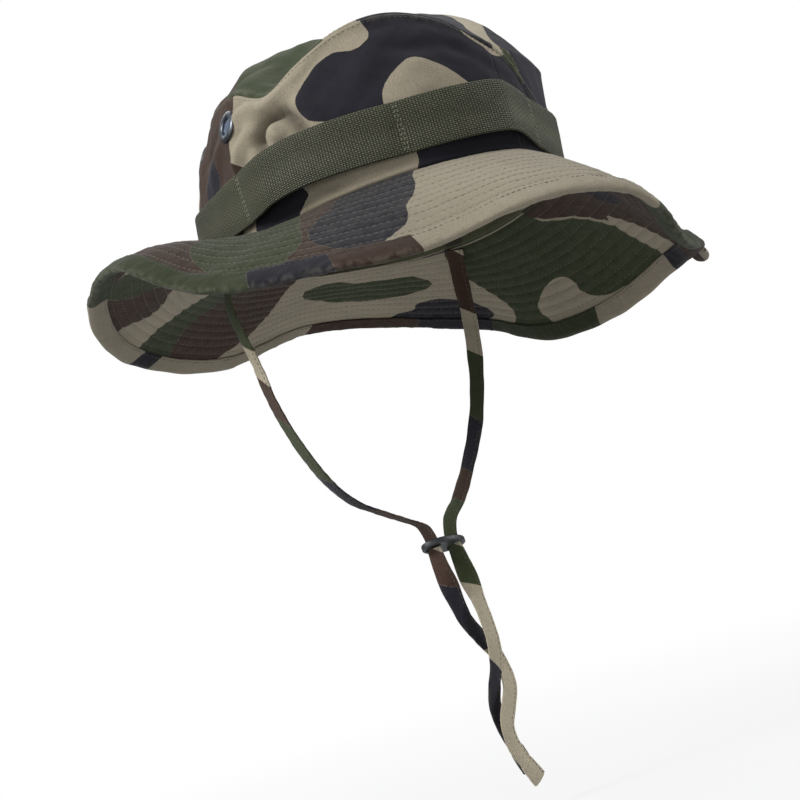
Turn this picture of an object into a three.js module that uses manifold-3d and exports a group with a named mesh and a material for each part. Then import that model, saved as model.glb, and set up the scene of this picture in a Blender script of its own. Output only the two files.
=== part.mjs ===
// A soft boonie hat: crown, quilted brim, webbing foliage band, screened vents and a chin strap
// with a sliding lock. Millimetres, +Z up. The origin is the centre of the head opening, at the
// seam between crown and brim. The wearer looks along -Y and their right side is -X.
// Angles round the hat are in degrees: 0 at the front, 90 on the wearer's right, 180 at the back.
import * as THREE from "three";
import { mergeVertices } from "three/addons/utils/BufferGeometryUtils.js";
import Module from "manifold-3d";

// Driving dimensions
const HEAD_HALF_LENGTH = 100; // head opening, front to back
const HEAD_HALF_WIDTH = 82; // head opening, side to side
const CROWN_APEX = 97;
const CLOTH = 0.8; // one layer of cotton ripstop with its seam allowance
const BRIM_WIDTH = 69.5;
const PLY = 0.6; // each of the two brim cloths
const INTERLINING = 0.5;
const PLY_PITCH = 0.9; // from the middle of the brim to the middle of a cloth
const BINDING_WIDTH = 9.5;
const BAND_WIDTH = 25; // nylon webbing
const BAND_THICK = 1.3;
const BAND_ABOVE_SEAM = 8;
const BAND_STANDOFF = 3.2; // how far the webbing stands off the crown between two tacks
const TACK_COUNT = 7;
const TACK_FIRST = 38;
const VENT_ANGLES = [94.5, 135, -94.5, -135];
const VENT_HEIGHT = 0.8; // share of the crown wall's height
const STRAP_WIDTH = 9.5;
const STRAP_THICK = 1.4;
const SLIDER_LENGTH = 26;
const SLIDER_DEPTH = 17;
const SLIDER_THICK = 3;
const SLIDER_HOLE_PITCH = 14;
const ANCHOR_ANGLE = 110.5; // where the strap is tacked inside the sweatband
const ANCHOR_SHARES = [0.02, 0.07]; // of the crown wall's height
const BRIM_START = 3; // the brim cloths stop short of the crown seam by this much
const BINDING_STOP = 1.3; // and of the brim's edge, inside the binding, by this much

// Heights and slopes round the hat, as [angle, value], joined by a smooth periodic curve
const SEAM_HEIGHT = [[-150, -5], [-120, -10], [-90, -13], [-60, -13], [-35, -12], [-15, -8],
  [5, 0], [30, 2], [60, 1], [90, -2], [120, -4], [150, -3], [180, -2]];
const RIM_HEIGHT = [[-155, 76], [-130, 74], [-100, 67], [-70, 57], [-42, 45], [-20, 48], [0, 57],
  [15, 70], [32, 78], [48, 77], [64, 69], [78, 62], [92, 71], [115, 73], [145, 73], [180, 76]];
const RIM_SCALE = [[-120, 0.92], [-80, 0.96], [-40, 1.01], [-10, 0.96], [30, 0.91], [70, 0.9],
  [92, 0.868], [112, 0.82], [140, 0.79], [180, 0.85]];
const BRIM_SLOPE = [[-160, -16], [-140, -23], [-120, -37], [-100, -58], [-80, -58], [-60, -43],
  [-40, -42], [-20, -47], [0, -33], [20, -31], [40, -38], [60, -33], [80, -23], [100, 2],
  [120, 2], [140, -12], [160, -22], [180, -27]];
const BRIM_CURL = [[-150, -20], [-90, -20], [-60, -25], [-30, -20], [0, -20], [30, -15],
  [60, -20], [85, -40], [105, -62], [125, -60], [150, -30], [180, -20]];
// How far the wall bellies out or in at half its height
const WALL_BELLY = [[-150, 2], [-90, 2], [-40, 2], [0, 1], [40, 1], [72, 1], [88, 4], [108, 0],
  [130, 3], [160, 4]];
const PANEL_FULLNESS = [[-100, 1], [-40, 1], [-10, 0.8], [20, 0.15], [45, 0], [70, 0.1],
  [95, 0.7], [130, 1], [180, 0.9]];

// Middle line of each strap run, from where it leaves the hat or the slider
const RIGHT_STRAND = [[-75, 36, -5], [-78.5, 40, -14], [-79.5, 41.5, -22], [-79, 39.5, -36],
  [-76, 37.5, -54], [-72, 38.5, -72], [-67, 39, -87], [-60, 40, -102], [-49.5, 41, -119],
  [-39, 39.5, -131], [-28, 35.5, -139], [-17.5, 31, -146], [-9.5, 28.4, -151.5], [-7, 27.6, -158.5]];
const LEFT_STRAND = [[75, 36, -12], [76.5, 39, -22], [76.5, 40, -34], [75, 39.5, -48],
  [72, 39, -64], [67.5, 38.5, -80], [61, 38, -96], [53, 37.5, -110], [43, 36.5, -123],
  [32, 34, -134], [21.5, 31, -143], [10.5, 28.4, -151], [7, 27.6, -158.5]];
const RIGHT_TAIL = [[-7, 27.6, -166], [-6, 27.6, -173], [-4, 27, -181.5], [-0.5, 26, -192],
  [4, 25, -203.5], [10.5, 24.2, -213.5], [16, 24, -222], [18.2, 24, -232], [16, 24, -241.5],
  [10, 24, -249.5], [5, 24.4, -258], [4.2, 25, -268], [7.5, 25.4, -278], [12.5, 25.4, -287.5]];
const LEFT_TAIL = [[7, 27.6, -166], [8.4, 28.2, -174], [9.4, 29.4, -184], [10.6, 30.4, -195],
  [11.8, 31, -206], [12.2, 31.2, -217], [10.8, 31.2, -228], [7.6, 31, -239], [6.2, 30.6, -249],
  [9, 30, -259], [13.6, 29.4, -268], [18, 28.8, -277], [21, 28.4, -284]];
const SLIDER_CENTRE = [0, 27.6, -163];

const AROUND_STEPS = 56;
const VENT_SIDES = 16;
const UP = new THREE.Vector3(0, 0, 1);

const wasm = await Module();
wasm.setup();

// Value of a periodic table at an angle, by a cubic curve through its neighbours.
function around(table, angle) {
  const n = table.length;
  const wrap = (angle - table[0][0]) - 360 * Math.floor((angle - table[0][0]) / 360);
  const a = table[0][0] + wrap;
  let i = 0;
  while (i < n - 1 && table[i + 1][0] <= a) i += 1;
  const at = (k) => {
    const turns = Math.floor(k / n);
    const [x, y] = table[k - n * turns];
    return [x + 360 * turns, y];
  };
  const [[x0, y0], [x1, y1], [x2, y2], [x3, y3]] = [at(i - 1), at(i), at(i + 1), at(i + 2)];
  const t = (a - x1) / (x2 - x1);
  const m1 = ((y2 - y0) / (x2 - x0)) * (x2 - x1);
  const m2 = ((y3 - y1) / (x3 - x1)) * (x2 - x1);
  const t2 = t * t;
  const t3 = t2 * t;
  return (2 * t3 - 3 * t2 + 1) * y1 + (t3 - 2 * t2 + t) * m1 + (3 * t2 - 2 * t3) * y2 + (t3 - t2) * m2;
}

// Point of the head opening's oval, and the level direction pointing out of it there.
function opening(angle) {
  const a = THREE.MathUtils.degToRad(angle);
  const point = new THREE.Vector3(-HEAD_HALF_WIDTH * Math.sin(a), -HEAD_HALF_LENGTH * Math.cos(a), 0);
  const out = new THREE.Vector3(-Math.sin(a) / HEAD_HALF_WIDTH, -Math.cos(a) / HEAD_HALF_LENGTH, 0);
  return { point, out: out.normalize() };
}

// Crown wall: height share 0 at the seam, 1 at the rim.
function wall(angle, share) {
  const { point, out } = opening(angle);
  const up = THREE.MathUtils.clamp(share, 0, 1);
  const seam = around(SEAM_HEIGHT, angle);
  point.multiplyScalar(1 + (around(RIM_SCALE, angle) - 1) * up ** 2.2);
  point.addScaledVector(out, around(WALL_BELLY, angle) * Math.sin(Math.PI * up));
  point.z = seam + (around(RIM_HEIGHT, angle) - seam) * share;
  return point;
}

// Top panel: share 0 at the rim, 1 at the middle of the crown.
function panel(angle, share) {
  const { point } = opening(angle);
  const rim = around(RIM_HEIGHT, angle);
  const full = THREE.MathUtils.clamp(around(PANEL_FULLNESS, angle), 0, 1);
  const round = 1 - (1 - share) ** 3.4;
  const gentle = share * share * (3 - 2 * share);
  point.multiplyScalar(around(RIM_SCALE, angle) * (1 - share));
  point.z = rim + (CROWN_APEX - rim) * (full * round + (1 - full) * gentle);
  return point;
}

// Brim: distance from the seam along the cloth, in a slope that curls steadily.
function brim(angle, distance) {
  const { point, out } = opening(angle);
  const mean = around(BRIM_SLOPE, angle);
  const curl = around(BRIM_CURL, angle);
  const steps = 8;
  point.z = around(SEAM_HEIGHT, angle);
  for (let i = 0; i < steps; i += 1) {
    const middle = (distance * (i + 0.5)) / steps / BRIM_WIDTH;
    const slope = THREE.MathUtils.degToRad(mean + curl * (middle - 0.5));
    point.addScaledVector(out, (distance / steps) * Math.cos(slope));
    point.z += (distance / steps) * Math.sin(slope);
  }
  return point;
}

// Unit normal of a surface, on the side that is up on the brim and outside on the crown.
function normalOf(surface, angle, along) {
  const d = 0.02;
  const du = surface(angle + d, along).sub(surface(angle - d, along));
  const dv = surface(angle, along + d).sub(surface(angle, along - d));
  return du.cross(dv).normalize();
}

const lift = (surface, side) => (angle, along, height) =>
  surface(angle, along).addScaledVector(normalOf(surface, angle, along), side * height);
const onWall = lift(wall, -1);
const onBrim = lift(brim, -1);
const onPanel = (angle, share, height) => {
  const centre = share > 0.985;
  const normal = centre ? UP : normalOf(panel, angle, Math.min(share, 0.97)).negate();
  if (!centre && share < 0.04) normal.copy(normalOf(panel, angle, 0.04).negate());
  return panel(angle, share).addScaledVector(normal, height);
};

function meshOf(name, geometry, material) {
  const mesh = new THREE.Mesh(geometry, material);
  mesh.name = name;
  return mesh;
}

function geometryOf(points, faces) {
  const geometry = new THREE.BufferGeometry();
  geometry.setAttribute("position", new THREE.Float32BufferAttribute(points.flatMap((p) => p.toArray()), 3));
  geometry.setIndex(faces.flat());
  geometry.computeVertexNormals();
  return geometry;
}

// Closed loft through loops of equal length: a ring when it meets itself, or capped at both ends.
function loft(loops, ring) {
  const n = loops[0].length;
  const points = loops.flat();
  const faces = [];
  const last = ring ? loops.length : loops.length - 1;
  for (let i = 0; i < last; i += 1) {
    const a = i * n;
    const b = ((i + 1) % loops.length) * n;
    for (let j = 0; j < n; j += 1) {
      const k = (j + 1) % n;
      faces.push([a + j, b + j, b + k], [a + j, b + k, a + k]);
    }
  }
  if (!ring) {
    const end = (loops.length - 1) * n;
    for (let j = 1; j < n - 1; j += 1) faces.push([0, j, j + 1], [end, end + j + 1, end + j]);
  }
  return facingOut(geometryOf(points, faces));
}

// Turns every face round when the solid is inside out.
function facingOut(geometry) {
  const p = geometry.attributes.position;
  const index = geometry.index.array;
  const [a, b, c] = [new THREE.Vector3(), new THREE.Vector3(), new THREE.Vector3()];
  let volume = 0;
  for (let i = 0; i < index.length; i += 3) {
    a.fromBufferAttribute(p, index[i]);
    b.fromBufferAttribute(p, index[i + 1]);
    c.fromBufferAttribute(p, index[i + 2]);
    volume += a.dot(b.cross(c));
  }
  if (volume < 0) {
    for (let i = 0; i < index.length; i += 3) {
      [index[i + 1], index[i + 2]] = [index[i + 2], index[i + 1]];
    }
    geometry.computeVertexNormals();
  }
  return geometry;
}

const angles = (from, to, steps) => Array.from({ length: steps + 1 }, (_, i) => from + ((to - from) * i) / steps);
const fullTurn = angles(-180, 180, AROUND_STEPS).slice(0, -1);

// Sheet that follows a surface between two heights off it, right round the hat or between two
// angles. Both skins are split along the same diagonals, so sheets on one surface never touch.
function sheet(place, angleList, stations, low, high, ring) {
  const n = stations.length;
  const columns = angleList.length;
  const points = [high, low].flatMap((h) => angleList.flatMap((a) => stations.map((s) => place(a, s, h))));
  const at = (skin, column, row) => skin * columns * n + (column % columns) * n + row;
  const faces = [];
  const last = ring ? columns : columns - 1;
  for (let c = 0; c < last; c += 1) {
    for (let r = 0; r < n - 1; r += 1) {
      for (const skin of [0, 1]) {
        const [p, q] = [at(skin, c, r), at(skin, c + 1, r)];
        const [s, t] = [at(skin, c + 1, r + 1), at(skin, c, r + 1)];
        faces.push(...(skin ? [[p, q, s], [p, s, t]] : [[p, s, q], [p, t, s]]));
      }
    }
    for (const r of [0, n - 1]) {
      const edge = [at(0, c, r), at(0, c + 1, r), at(1, c + 1, r), at(1, c, r)];
      faces.push(...quad(r ? edge.toReversed() : edge));
    }
  }
  if (!ring) {
    for (const c of [0, columns - 1]) {
      for (let r = 0; r < n - 1; r += 1) {
        const edge = [at(0, c, r), at(1, c, r), at(1, c, r + 1), at(0, c, r + 1)];
        faces.push(...quad(c ? edge.toReversed() : edge));
      }
    }
  }
  return facingOut(geometryOf(points, faces));
}
const quad = ([a, b, c, d]) => [[a, b, c], [a, c, d]];
const ringOf = (place, stations, low, high) => sheet(place, fullTurn, stations, low, high, true);

// One side of the crown wall, between two seams.
function wallHalf(from, to) {
  const stations = [0.008, 0.2, 0.4, 0.6, 0.8, 0.975];
  return sheet(onWall, angles(from, to, AROUND_STEPS / 2), stations, -CLOTH / 2, CLOTH / 2, false);
}

// The domed top: two skins of rings that close on a middle point, joined at the rim.
function topPanel() {
  const shares = [0.012, 0.12, 0.28, 0.46, 0.66, 0.86];
  const skins = [CLOTH / 2, -CLOTH / 2];
  const points = [];
  const faces = [];
  const n = fullTurn.length;
  skins.forEach((height) => {
    shares.forEach((s) => fullTurn.forEach((a) => points.push(onPanel(a, s, height))));
    points.push(onPanel(0, 1, height));
  });
  const skinSize = shares.length * n + 1;
  skins.forEach((_, k) => {
    const turn = (f) => (k ? [f[0], f[2], f[1]] : f);
    const start = k * skinSize;
    for (let j = 0; j < n; j += 1) {
      const next = (j + 1) % n;
      for (let i = 0; i < shares.length - 1; i += 1) {
        const a = start + i * n;
        faces.push(turn([a + j, a + next, a + n + next]), turn([a + j, a + n + next, a + n + j]));
      }
      const inner = start + (shares.length - 1) * n;
      faces.push(turn([inner + j, inner + next, start + skinSize - 1]));
    }
  });
  for (let j = 0; j < n; j += 1) {
    const next = (j + 1) % n;
    faces.push([skinSize + j, skinSize + next, next], [skinSize + j, next, j]);
  }
  return facingOut(geometryOf(points, faces));
}

function solidOf(geometry) {
  const bare = geometry.index ? geometry.clone() : mergeVertices(geometry.clone());
  bare.deleteAttribute("normal");
  bare.deleteAttribute("uv");
  const merged = mergeVertices(bare, 1e-4);
  return new wasm.Manifold(
    new wasm.Mesh({
      numProp: 3,
      vertProperties: new Float32Array(merged.attributes.position.array),
      triVerts: new Uint32Array(merged.index.array),
    }),
  );
}

// Cuts tool geometries out of a body.
function cut(body, tools) {
  let solid = solidOf(body);
  for (const tool of tools) solid = solid.subtract(solidOf(tool));
  const made = solid.getMesh();
  const geometry = new THREE.BufferGeometry();
  geometry.setAttribute("position", new THREE.Float32BufferAttribute(made.vertProperties, 3));
  geometry.setIndex(Array.from(made.triVerts));
  geometry.computeVertexNormals();
  return geometry;
}

// Place on the crown wall whose Z axis points straight out of the cloth.
function ventFrame(angle) {
  const origin = onWall(angle, VENT_HEIGHT, 0);
  const normal = onWall(angle, VENT_HEIGHT, 1).sub(origin).normalize();
  const turn = new THREE.Quaternion().setFromUnitVectors(UP, normal);
  return new THREE.Matrix4().compose(origin, turn, new THREE.Vector3(1, 1, 1));
}

// Solid of revolution whose profile, given as [radius, height], closes on itself.
function turned(profile, segments) {
  const outline = [...profile, profile[0]].map(([r, h]) => new THREE.Vector2(r, h));
  const geometry = new THREE.LatheGeometry(outline, segments).rotateX(Math.PI / 2);
  geometry.deleteAttribute("normal");
  geometry.deleteAttribute("uv");
  return facingOut(mergeVertices(geometry, 1e-4));
}

// Flat tape swept along its middle line. Its width is held towards one direction at its start and
// another from a share of its length on.
function tape(route, widthFrom, widthTo, turnShare) {
  const curve = new THREE.CatmullRomCurve3(route.map((p) => new THREE.Vector3(...p)), false, "centripetal");
  const steps = Math.round(route.length * 1.6);
  const [w, h] = [STRAP_WIDTH / 2, STRAP_THICK / 2];
  const section = [[w, h * 0.4], [w * 0.85, h], [-w * 0.85, h], [-w, h * 0.4],
    [-w, -h * 0.4], [-w * 0.85, -h], [w * 0.85, -h], [w, -h * 0.4]];
  const loops = [];
  for (let i = 0; i <= steps; i += 1) {
    const u = i / steps;
    const centre = curve.getPointAt(u);
    const along = curve.getTangentAt(u);
    const width = new THREE.Vector3(...widthFrom).lerp(new THREE.Vector3(...widthTo), Math.min(u / turnShare, 1));
    width.addScaledVector(along, -width.dot(along)).normalize();
    const thick = along.clone().cross(width);
    loops.push(section.map(([a, b]) => centre.clone().addScaledVector(width, a).addScaledVector(thick, b)));
  }
  return loft(loops, false);
}

// Oval disc with two holes that the tape runs through.
function sliderBody() {
  const bevel = 0.6;
  const outline = new THREE.Shape();
  outline.absellipse(0, 0, SLIDER_LENGTH / 2 - bevel, SLIDER_DEPTH / 2 - bevel, 0, Math.PI * 2);
  const disc = new THREE.ExtrudeGeometry(outline, {
    depth: SLIDER_THICK - 2 * bevel,
    bevelThickness: bevel,
    bevelSize: bevel,
    bevelSegments: 1,
    curveSegments: 12,
  }).translate(0, 0, bevel - SLIDER_THICK / 2);
  const holes = [-1, 1].map((side) =>
    new THREE.CylinderGeometry(1, 1, 2 * SLIDER_THICK, 20)
      .rotateX(Math.PI / 2)
      .scale(3.6, 5.6, 1)
      .translate((side * SLIDER_HOLE_PITCH) / 2, 0, 0));
  return cut(disc, holes);
}

const camouflage = new THREE.MeshStandardMaterial({ color: 0x8a7f5c, roughness: 0.95 });
const lining = new THREE.MeshStandardMaterial({ color: 0x4d5238, roughness: 0.95 });
const webbing = new THREE.MeshStandardMaterial({ color: 0x4b4f38, roughness: 0.8 });
const thread = new THREE.MeshStandardMaterial({ color: 0x9a9a7c, roughness: 0.9 });
const darkMetal = new THREE.MeshStandardMaterial({ color: 0x3a4048, roughness: 0.35, metalness: 0.8 });
const screenMetal = new THREE.MeshStandardMaterial({ color: 0x5a6676, roughness: 0.5, metalness: 0.6 });
const strapCloth = new THREE.MeshStandardMaterial({ color: 0x4a4a34, roughness: 0.95 });
const darkPlastic = new THREE.MeshStandardMaterial({ color: 0x2c2f31, roughness: 0.45 });

const hat = new THREE.Group();

// Crown
hat.add(meshOf("crown_top", topPanel(), camouflage));
const ventHole = () => new THREE.CylinderGeometry(5.4, 5.4, 10, VENT_SIDES).rotateX(Math.PI / 2);
const ventFrames = VENT_ANGLES.map(ventFrame);
const holesOn = (side) =>
  VENT_ANGLES.flatMap((a, i) => (Math.sign(a) === side ? [ventHole().applyMatrix4(ventFrames[i])] : []));
hat.add(meshOf("crown_side_right", cut(wallHalf(0.4, 179.6), holesOn(1)), camouflage));
hat.add(meshOf("crown_side_left", cut(wallHalf(-179.6, -0.4), holesOn(-1)), camouflage));
hat.add(meshOf("crown_seam_tape", ringOf(onWall, [0.9, 0.965], -1.7, -1.1), lining));
hat.add(meshOf("sweatband", ringOf(onWall, [0.01, 0.15, 0.3], -2.1, -1.1), lining));

// Vents
const eyeletProfile = [[4.2, -2], [4.7, -2], [4.7, 0.85], [7.8, 0.85], [7.7, 1.5], [6.3, 2.1], [4.9, 1.9], [4.2, 1.3]];
const washerProfile = [[5.1, -2.1], [7.5, -2.1], [7.3, -2.7], [5.3, -2.7]];
ventFrames.forEach((frame, i) => {
  const parts = [
    [`vent_eyelet_${i + 1}`, turned(eyeletProfile, VENT_SIDES), darkMetal],
    [`vent_washer_${i + 1}`, turned(washerProfile, VENT_SIDES), darkMetal],
    [`vent_screen_${i + 1}`, new THREE.CylinderGeometry(3.9, 3.9, 0.5, VENT_SIDES).rotateX(Math.PI / 2), screenMetal],
  ];
  parts.forEach(([name, geometry, material]) => hat.add(meshOf(name, geometry.applyMatrix4(frame), material)));
});

// Brim: two cloths with an interlining between them, and the binding folded over the edge
const plyStations = [BRIM_START, 14, 27, 40, BRIM_WIDTH - BINDING_WIDTH, BRIM_WIDTH - BINDING_STOP];
const ply = (middle, thick) => ringOf(onBrim, plyStations, middle - thick / 2, middle + thick / 2);
hat.add(meshOf("brim_upper", ply(PLY_PITCH, PLY), camouflage));
hat.add(meshOf("brim_interlining", ply(0, INTERLINING), lining));
hat.add(meshOf("brim_lower", ply(-PLY_PITCH, PLY), camouflage));
const bindingSection = [[-9.5, 2.25], [-1, 2.25], [0.8, 1.3], [1.3, 0], [0.8, -1.3], [-1, -2.25], [-9.5, -2.25],
  [-9.5, -1.65], [-1, -1.65], [0, -0.8], [0, 0.8], [-1, 1.65], [-9.5, 1.65]];
const bindingLoops = fullTurn.map((a) => bindingSection.map(([s, h]) => onBrim(a, BRIM_WIDTH + s, h)));
hat.add(meshOf("brim_binding", loft(bindingLoops, true), camouflage));
const lapSection = [[1.8, 0.5], [7, 0.7], [7, -0.7], [1.8, -0.5]];
const lapLoops = angles(-49, -42, 3).map((a) => lapSection.map(([s, h]) => onBrim(a, BRIM_WIDTH + s, h)));
hat.add(meshOf("binding_lap", loft(lapLoops, false), camouflage));

// Foliage band, standing off the crown between the tacks
const tackStep = 360 / TACK_COUNT;
const standoff = (angle) => BAND_STANDOFF * Math.sin((Math.PI * (angle - TACK_FIRST)) / tackStep) ** 2;
function onBand(angle, up, height) {
  const seam = around(SEAM_HEIGHT, angle);
  const share = (BAND_ABOVE_SEAM + up) / (around(RIM_HEIGHT, angle) - seam);
  const { out } = opening(angle);
  return wall(angle, share).addScaledVector(out, CLOTH / 2 + 0.7 + standoff(angle) + height);
}
hat.add(meshOf("foliage_band", ringOf(onBand, [0, BAND_WIDTH], 0, BAND_THICK), webbing));
for (let i = 0; i < TACK_COUNT; i += 1) {
  const middle = TACK_FIRST + i * tackStep;
  const side = [[2, 0.4], [2, 0.9], [BAND_WIDTH - 2, 0.9], [BAND_WIDTH - 2, 0.4]];
  const loops = [-0.5, 0, 0.5].map((d) => side.map(([up, h]) => onBand(middle + d, up, BAND_THICK + h)));
  hat.add(meshOf(`band_tack_${i + 1}`, loft(loops, false), thread));
}

// Chin strap, its anchors and the slider
hat.add(meshOf("strap_strand_right", tape(RIGHT_STRAND, [0.35, 1, 0], [0, 1, 0.2], 1), strapCloth));
hat.add(meshOf("strap_strand_left", tape(LEFT_STRAND, [-0.35, 1, 0], [0, 1, 0.2], 1), strapCloth));
hat.add(meshOf("strap_tail_right", tape(RIGHT_TAIL, [0, 1, 0], [1, 0.1, 0], 0.25), strapCloth));
hat.add(meshOf("strap_tail_left", tape(LEFT_TAIL, [0, 1, 0], [1, 0.1, 0], 0.25), strapCloth));
const slider = meshOf("strap_slider", sliderBody(), darkPlastic);
slider.position.set(...SLIDER_CENTRE);
hat.add(slider);
for (const [name, side] of [["strap_anchor_right", 1], ["strap_anchor_left", -1]]) {
  const across = [ANCHOR_ANGLE - 3.2, ANCHOR_ANGLE, ANCHOR_ANGLE + 3.2].map((a) => side * a);
  hat.add(meshOf(name, sheet(onWall, across, ANCHOR_SHARES, -3.7, -2.5, false), thread));
}

export default hat;
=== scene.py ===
# Looks of the boonie hat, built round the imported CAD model. Lengths are in millimetres until a mesh
# is made, and angles go round the hat in degrees: 0 at the front, 90 on the wearer's right, 180 at
# the back. The hat's frame is the CAD frame: the wearer looks along -Y and their right side is -X.
import math

import bmesh
import bpy
import numpy as np
from mathutils import Matrix, Vector


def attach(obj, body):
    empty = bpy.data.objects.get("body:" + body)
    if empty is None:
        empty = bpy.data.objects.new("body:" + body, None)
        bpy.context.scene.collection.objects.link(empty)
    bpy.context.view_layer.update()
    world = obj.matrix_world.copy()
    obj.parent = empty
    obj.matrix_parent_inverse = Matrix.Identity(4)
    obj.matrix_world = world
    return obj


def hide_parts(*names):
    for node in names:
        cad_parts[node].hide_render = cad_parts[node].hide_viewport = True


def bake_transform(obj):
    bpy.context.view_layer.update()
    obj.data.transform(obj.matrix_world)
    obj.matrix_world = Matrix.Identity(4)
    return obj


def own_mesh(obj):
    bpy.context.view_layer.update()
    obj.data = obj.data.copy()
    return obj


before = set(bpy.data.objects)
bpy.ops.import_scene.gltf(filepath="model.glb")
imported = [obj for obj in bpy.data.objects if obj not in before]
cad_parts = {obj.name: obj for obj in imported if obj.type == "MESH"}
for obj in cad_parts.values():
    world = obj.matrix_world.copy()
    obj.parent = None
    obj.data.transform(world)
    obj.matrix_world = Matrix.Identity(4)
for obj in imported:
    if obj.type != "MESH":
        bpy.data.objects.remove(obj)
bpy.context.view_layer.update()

MM = 0.001

# Driving dimensions and tables, as in the CAD source. Only the tails differ: they hang a few
# millimetres off their CAD solids, and the strap runs on into the slider.
HEAD_HALF_LENGTH = 100
HEAD_HALF_WIDTH = 82
CROWN_APEX = 97
CLOTH = 0.8
BRIM_WIDTH = 69.5
PLY_PITCH = 0.9
BINDING_WIDTH = 9.5
BAND_WIDTH = 25
BAND_THICK = 1.3
BAND_ABOVE_SEAM = 8
VENT_ANGLES = [94.5, 135, -94.5, -135]
VENT_HEIGHT = 0.8
STRAP_WIDTH = 9.5
STRAP_THICK = 1.4
SLIDER_LENGTH = 26
SLIDER_DEPTH = 17
SLIDER_THICK = 3
SLIDER_HOLE_PITCH = 14
SLIDER_CENTRE = (0, 27.6, -163)
SLIDER_TILT = -17
SLIDER_TILT_AXIS = (0.9, -0.44, 0)
ANCHOR_ANGLE = 110.5
ANCHOR_SHARES = (0.02, 0.07)

SEAM_HEIGHT = [(-150, -5), (-120, -10), (-90, -13), (-60, -13), (-35, -12), (-15, -8), (5, 0),
               (30, 2), (60, 1), (90, -2), (120, -4), (150, -3), (180, -2)]
RIM_HEIGHT = [(-155, 76), (-130, 74), (-100, 67), (-70, 57), (-42, 45), (-20, 48), (0, 57),
              (15, 70), (32, 78), (48, 77), (64, 69), (78, 62), (92, 71), (115, 73), (145, 73),
              (180, 76)]
RIM_SCALE = [(-120, 0.92), (-80, 0.96), (-40, 1.01), (-10, 0.96), (30, 0.91), (70, 0.9),
             (92, 0.868), (112, 0.82), (140, 0.79), (180, 0.85)]
BRIM_SLOPE = [(-160, -16), (-140, -23), (-120, -37), (-100, -58), (-80, -58), (-60, -43),
              (-40, -42), (-20, -47), (0, -33), (20, -31), (40, -38), (60, -33), (80, -23),
              (100, 2), (120, 2), (140, -12), (160, -22), (180, -27)]
BRIM_CURL = [(-150, -20), (-90, -20), (-60, -25), (-30, -20), (0, -20), (30, -15), (60, -20),
             (85, -40), (105, -62), (125, -60), (150, -30), (180, -20)]
WALL_BELLY = [(-150, 2), (-90, 2), (-40, 2), (0, 1), (40, 1), (72, 1), (88, 4), (108, 0),
              (130, 3), (160, 4)]
PANEL_FULLNESS = [(-100, 1), (-40, 1), (-10, 0.8), (20, 0.15), (45, 0), (70, 0.1), (95, 0.7),
                  (130, 1), (180, 0.9)]

RIGHT_STRAND = [(-75, 36, -5), (-78.5, 40, -14), (-79.5, 41.5, -22), (-79, 39.5, -36),
                (-76, 37.5, -54), (-72, 38.5, -72), (-67, 39, -87), (-60, 40, -102),
                (-49.5, 41, -119), (-39, 39.5, -131), (-28, 35.5, -139), (-17.5, 31, -146),
                (-9.5, 28.4, -151.5), (-7, 27.6, -158.5), (-7, 27.6, -162.6)]
LEFT_STRAND = [(75, 36, -12), (76.5, 39, -22), (76.5, 40, -34), (75, 39.5, -48), (72, 39, -64),
               (67.5, 38.5, -80), (61, 38, -96), (53, 37.5, -110), (43, 36.5, -123),
               (32, 34, -134), (21.5, 31, -143), (10.5, 28.4, -151), (7, 27.6, -158.5),
               (7, 27.6, -162.6)]
RIGHT_TAIL = [(-7, 27.6, -163.4), (-6, 27.6, -173), (-4, 28, -181.5), (-0.5, 29.5, -192),
              (4, 31, -203.5), (10.5, 31.5, -213.5), (16, 31, -222), (18.2, 29.5, -232),
              (16, 27, -241.5), (10, 25, -249.5), (5, 24.4, -258), (5.6, 25, -268),
              (10.5, 25.4, -278.5), (17, 25.4, -290)]
LEFT_TAIL = [(7, 27.6, -163.4), (8.4, 27.4, -174), (9.4, 26.4, -184), (10.6, 25.2, -195),
             (11.8, 25, -206), (12.2, 25.2, -217), (10.8, 26.4, -228), (7.6, 29, -239),
             (6.2, 31, -249), (7.6, 31, -259), (10, 30.4, -268), (13, 29.8, -277),
             (15.5, 29.4, -284)]

# Looks only. The crown seam rides up and in at the front left, where the brim hangs from it.
SEAM_LIFT = [(-180, 0), (-110, 0), (-75, 4.5), (-45, 7.5), (-25, 6.5), (-8, 4), (8, 1), (25, 0)]
SEAM_TUCK = [(-180, 0), (-110, 0), (-75, 3), (-48, 5), (-25, 3.5), (-5, 1), (20, 0)]
TOP_SEAM = [(-180, 1), (-62, 1), (-52, 0.85), (-42, 0.64), (-32, 0.48), (-24, 0.43), (-19, 0.5),
            (-13, 0.66), (-10, 0.8), (-7, 0.9), (1, 0.97), (12, 1)]
BAND_LIFT = [(-100, 0), (-75, -4), (-45, -7.5), (-25, -7.5), (-12, -6), (-2, -3.5), (6, -0.5), (16, 0),
             (38, 0), (58, 1.5), (70, 2), (84, 0)]
TACK_ANGLES = [38, -8, -62, -116, -167, 141, 89.4]
BAND_KINKS = [(5, 5.4), (77, 8.2), (110, 1.6), (166, 2.4), (219, 3.0), (272, 3.0), (325, 0.8)]
QUILT_FIRST = 5.5
QUILT_PITCH = 5.7
QUILT_ROWS = 10
STITCH_PITCH = 3.1


# ---------------------------------------------------------------- camera, light and floor
VIEW_TARGET = Vector((-14.33, 12.9, -88.17)) * MM
VIEW_AZIMUTH = 42
VIEW_ELEVATION = -4.49
VIEW_ROLL = -16.12
VIEW_DISTANCE = 0.9
LENS = 81.4
FLOOR_HEIGHT = -0.305
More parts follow.
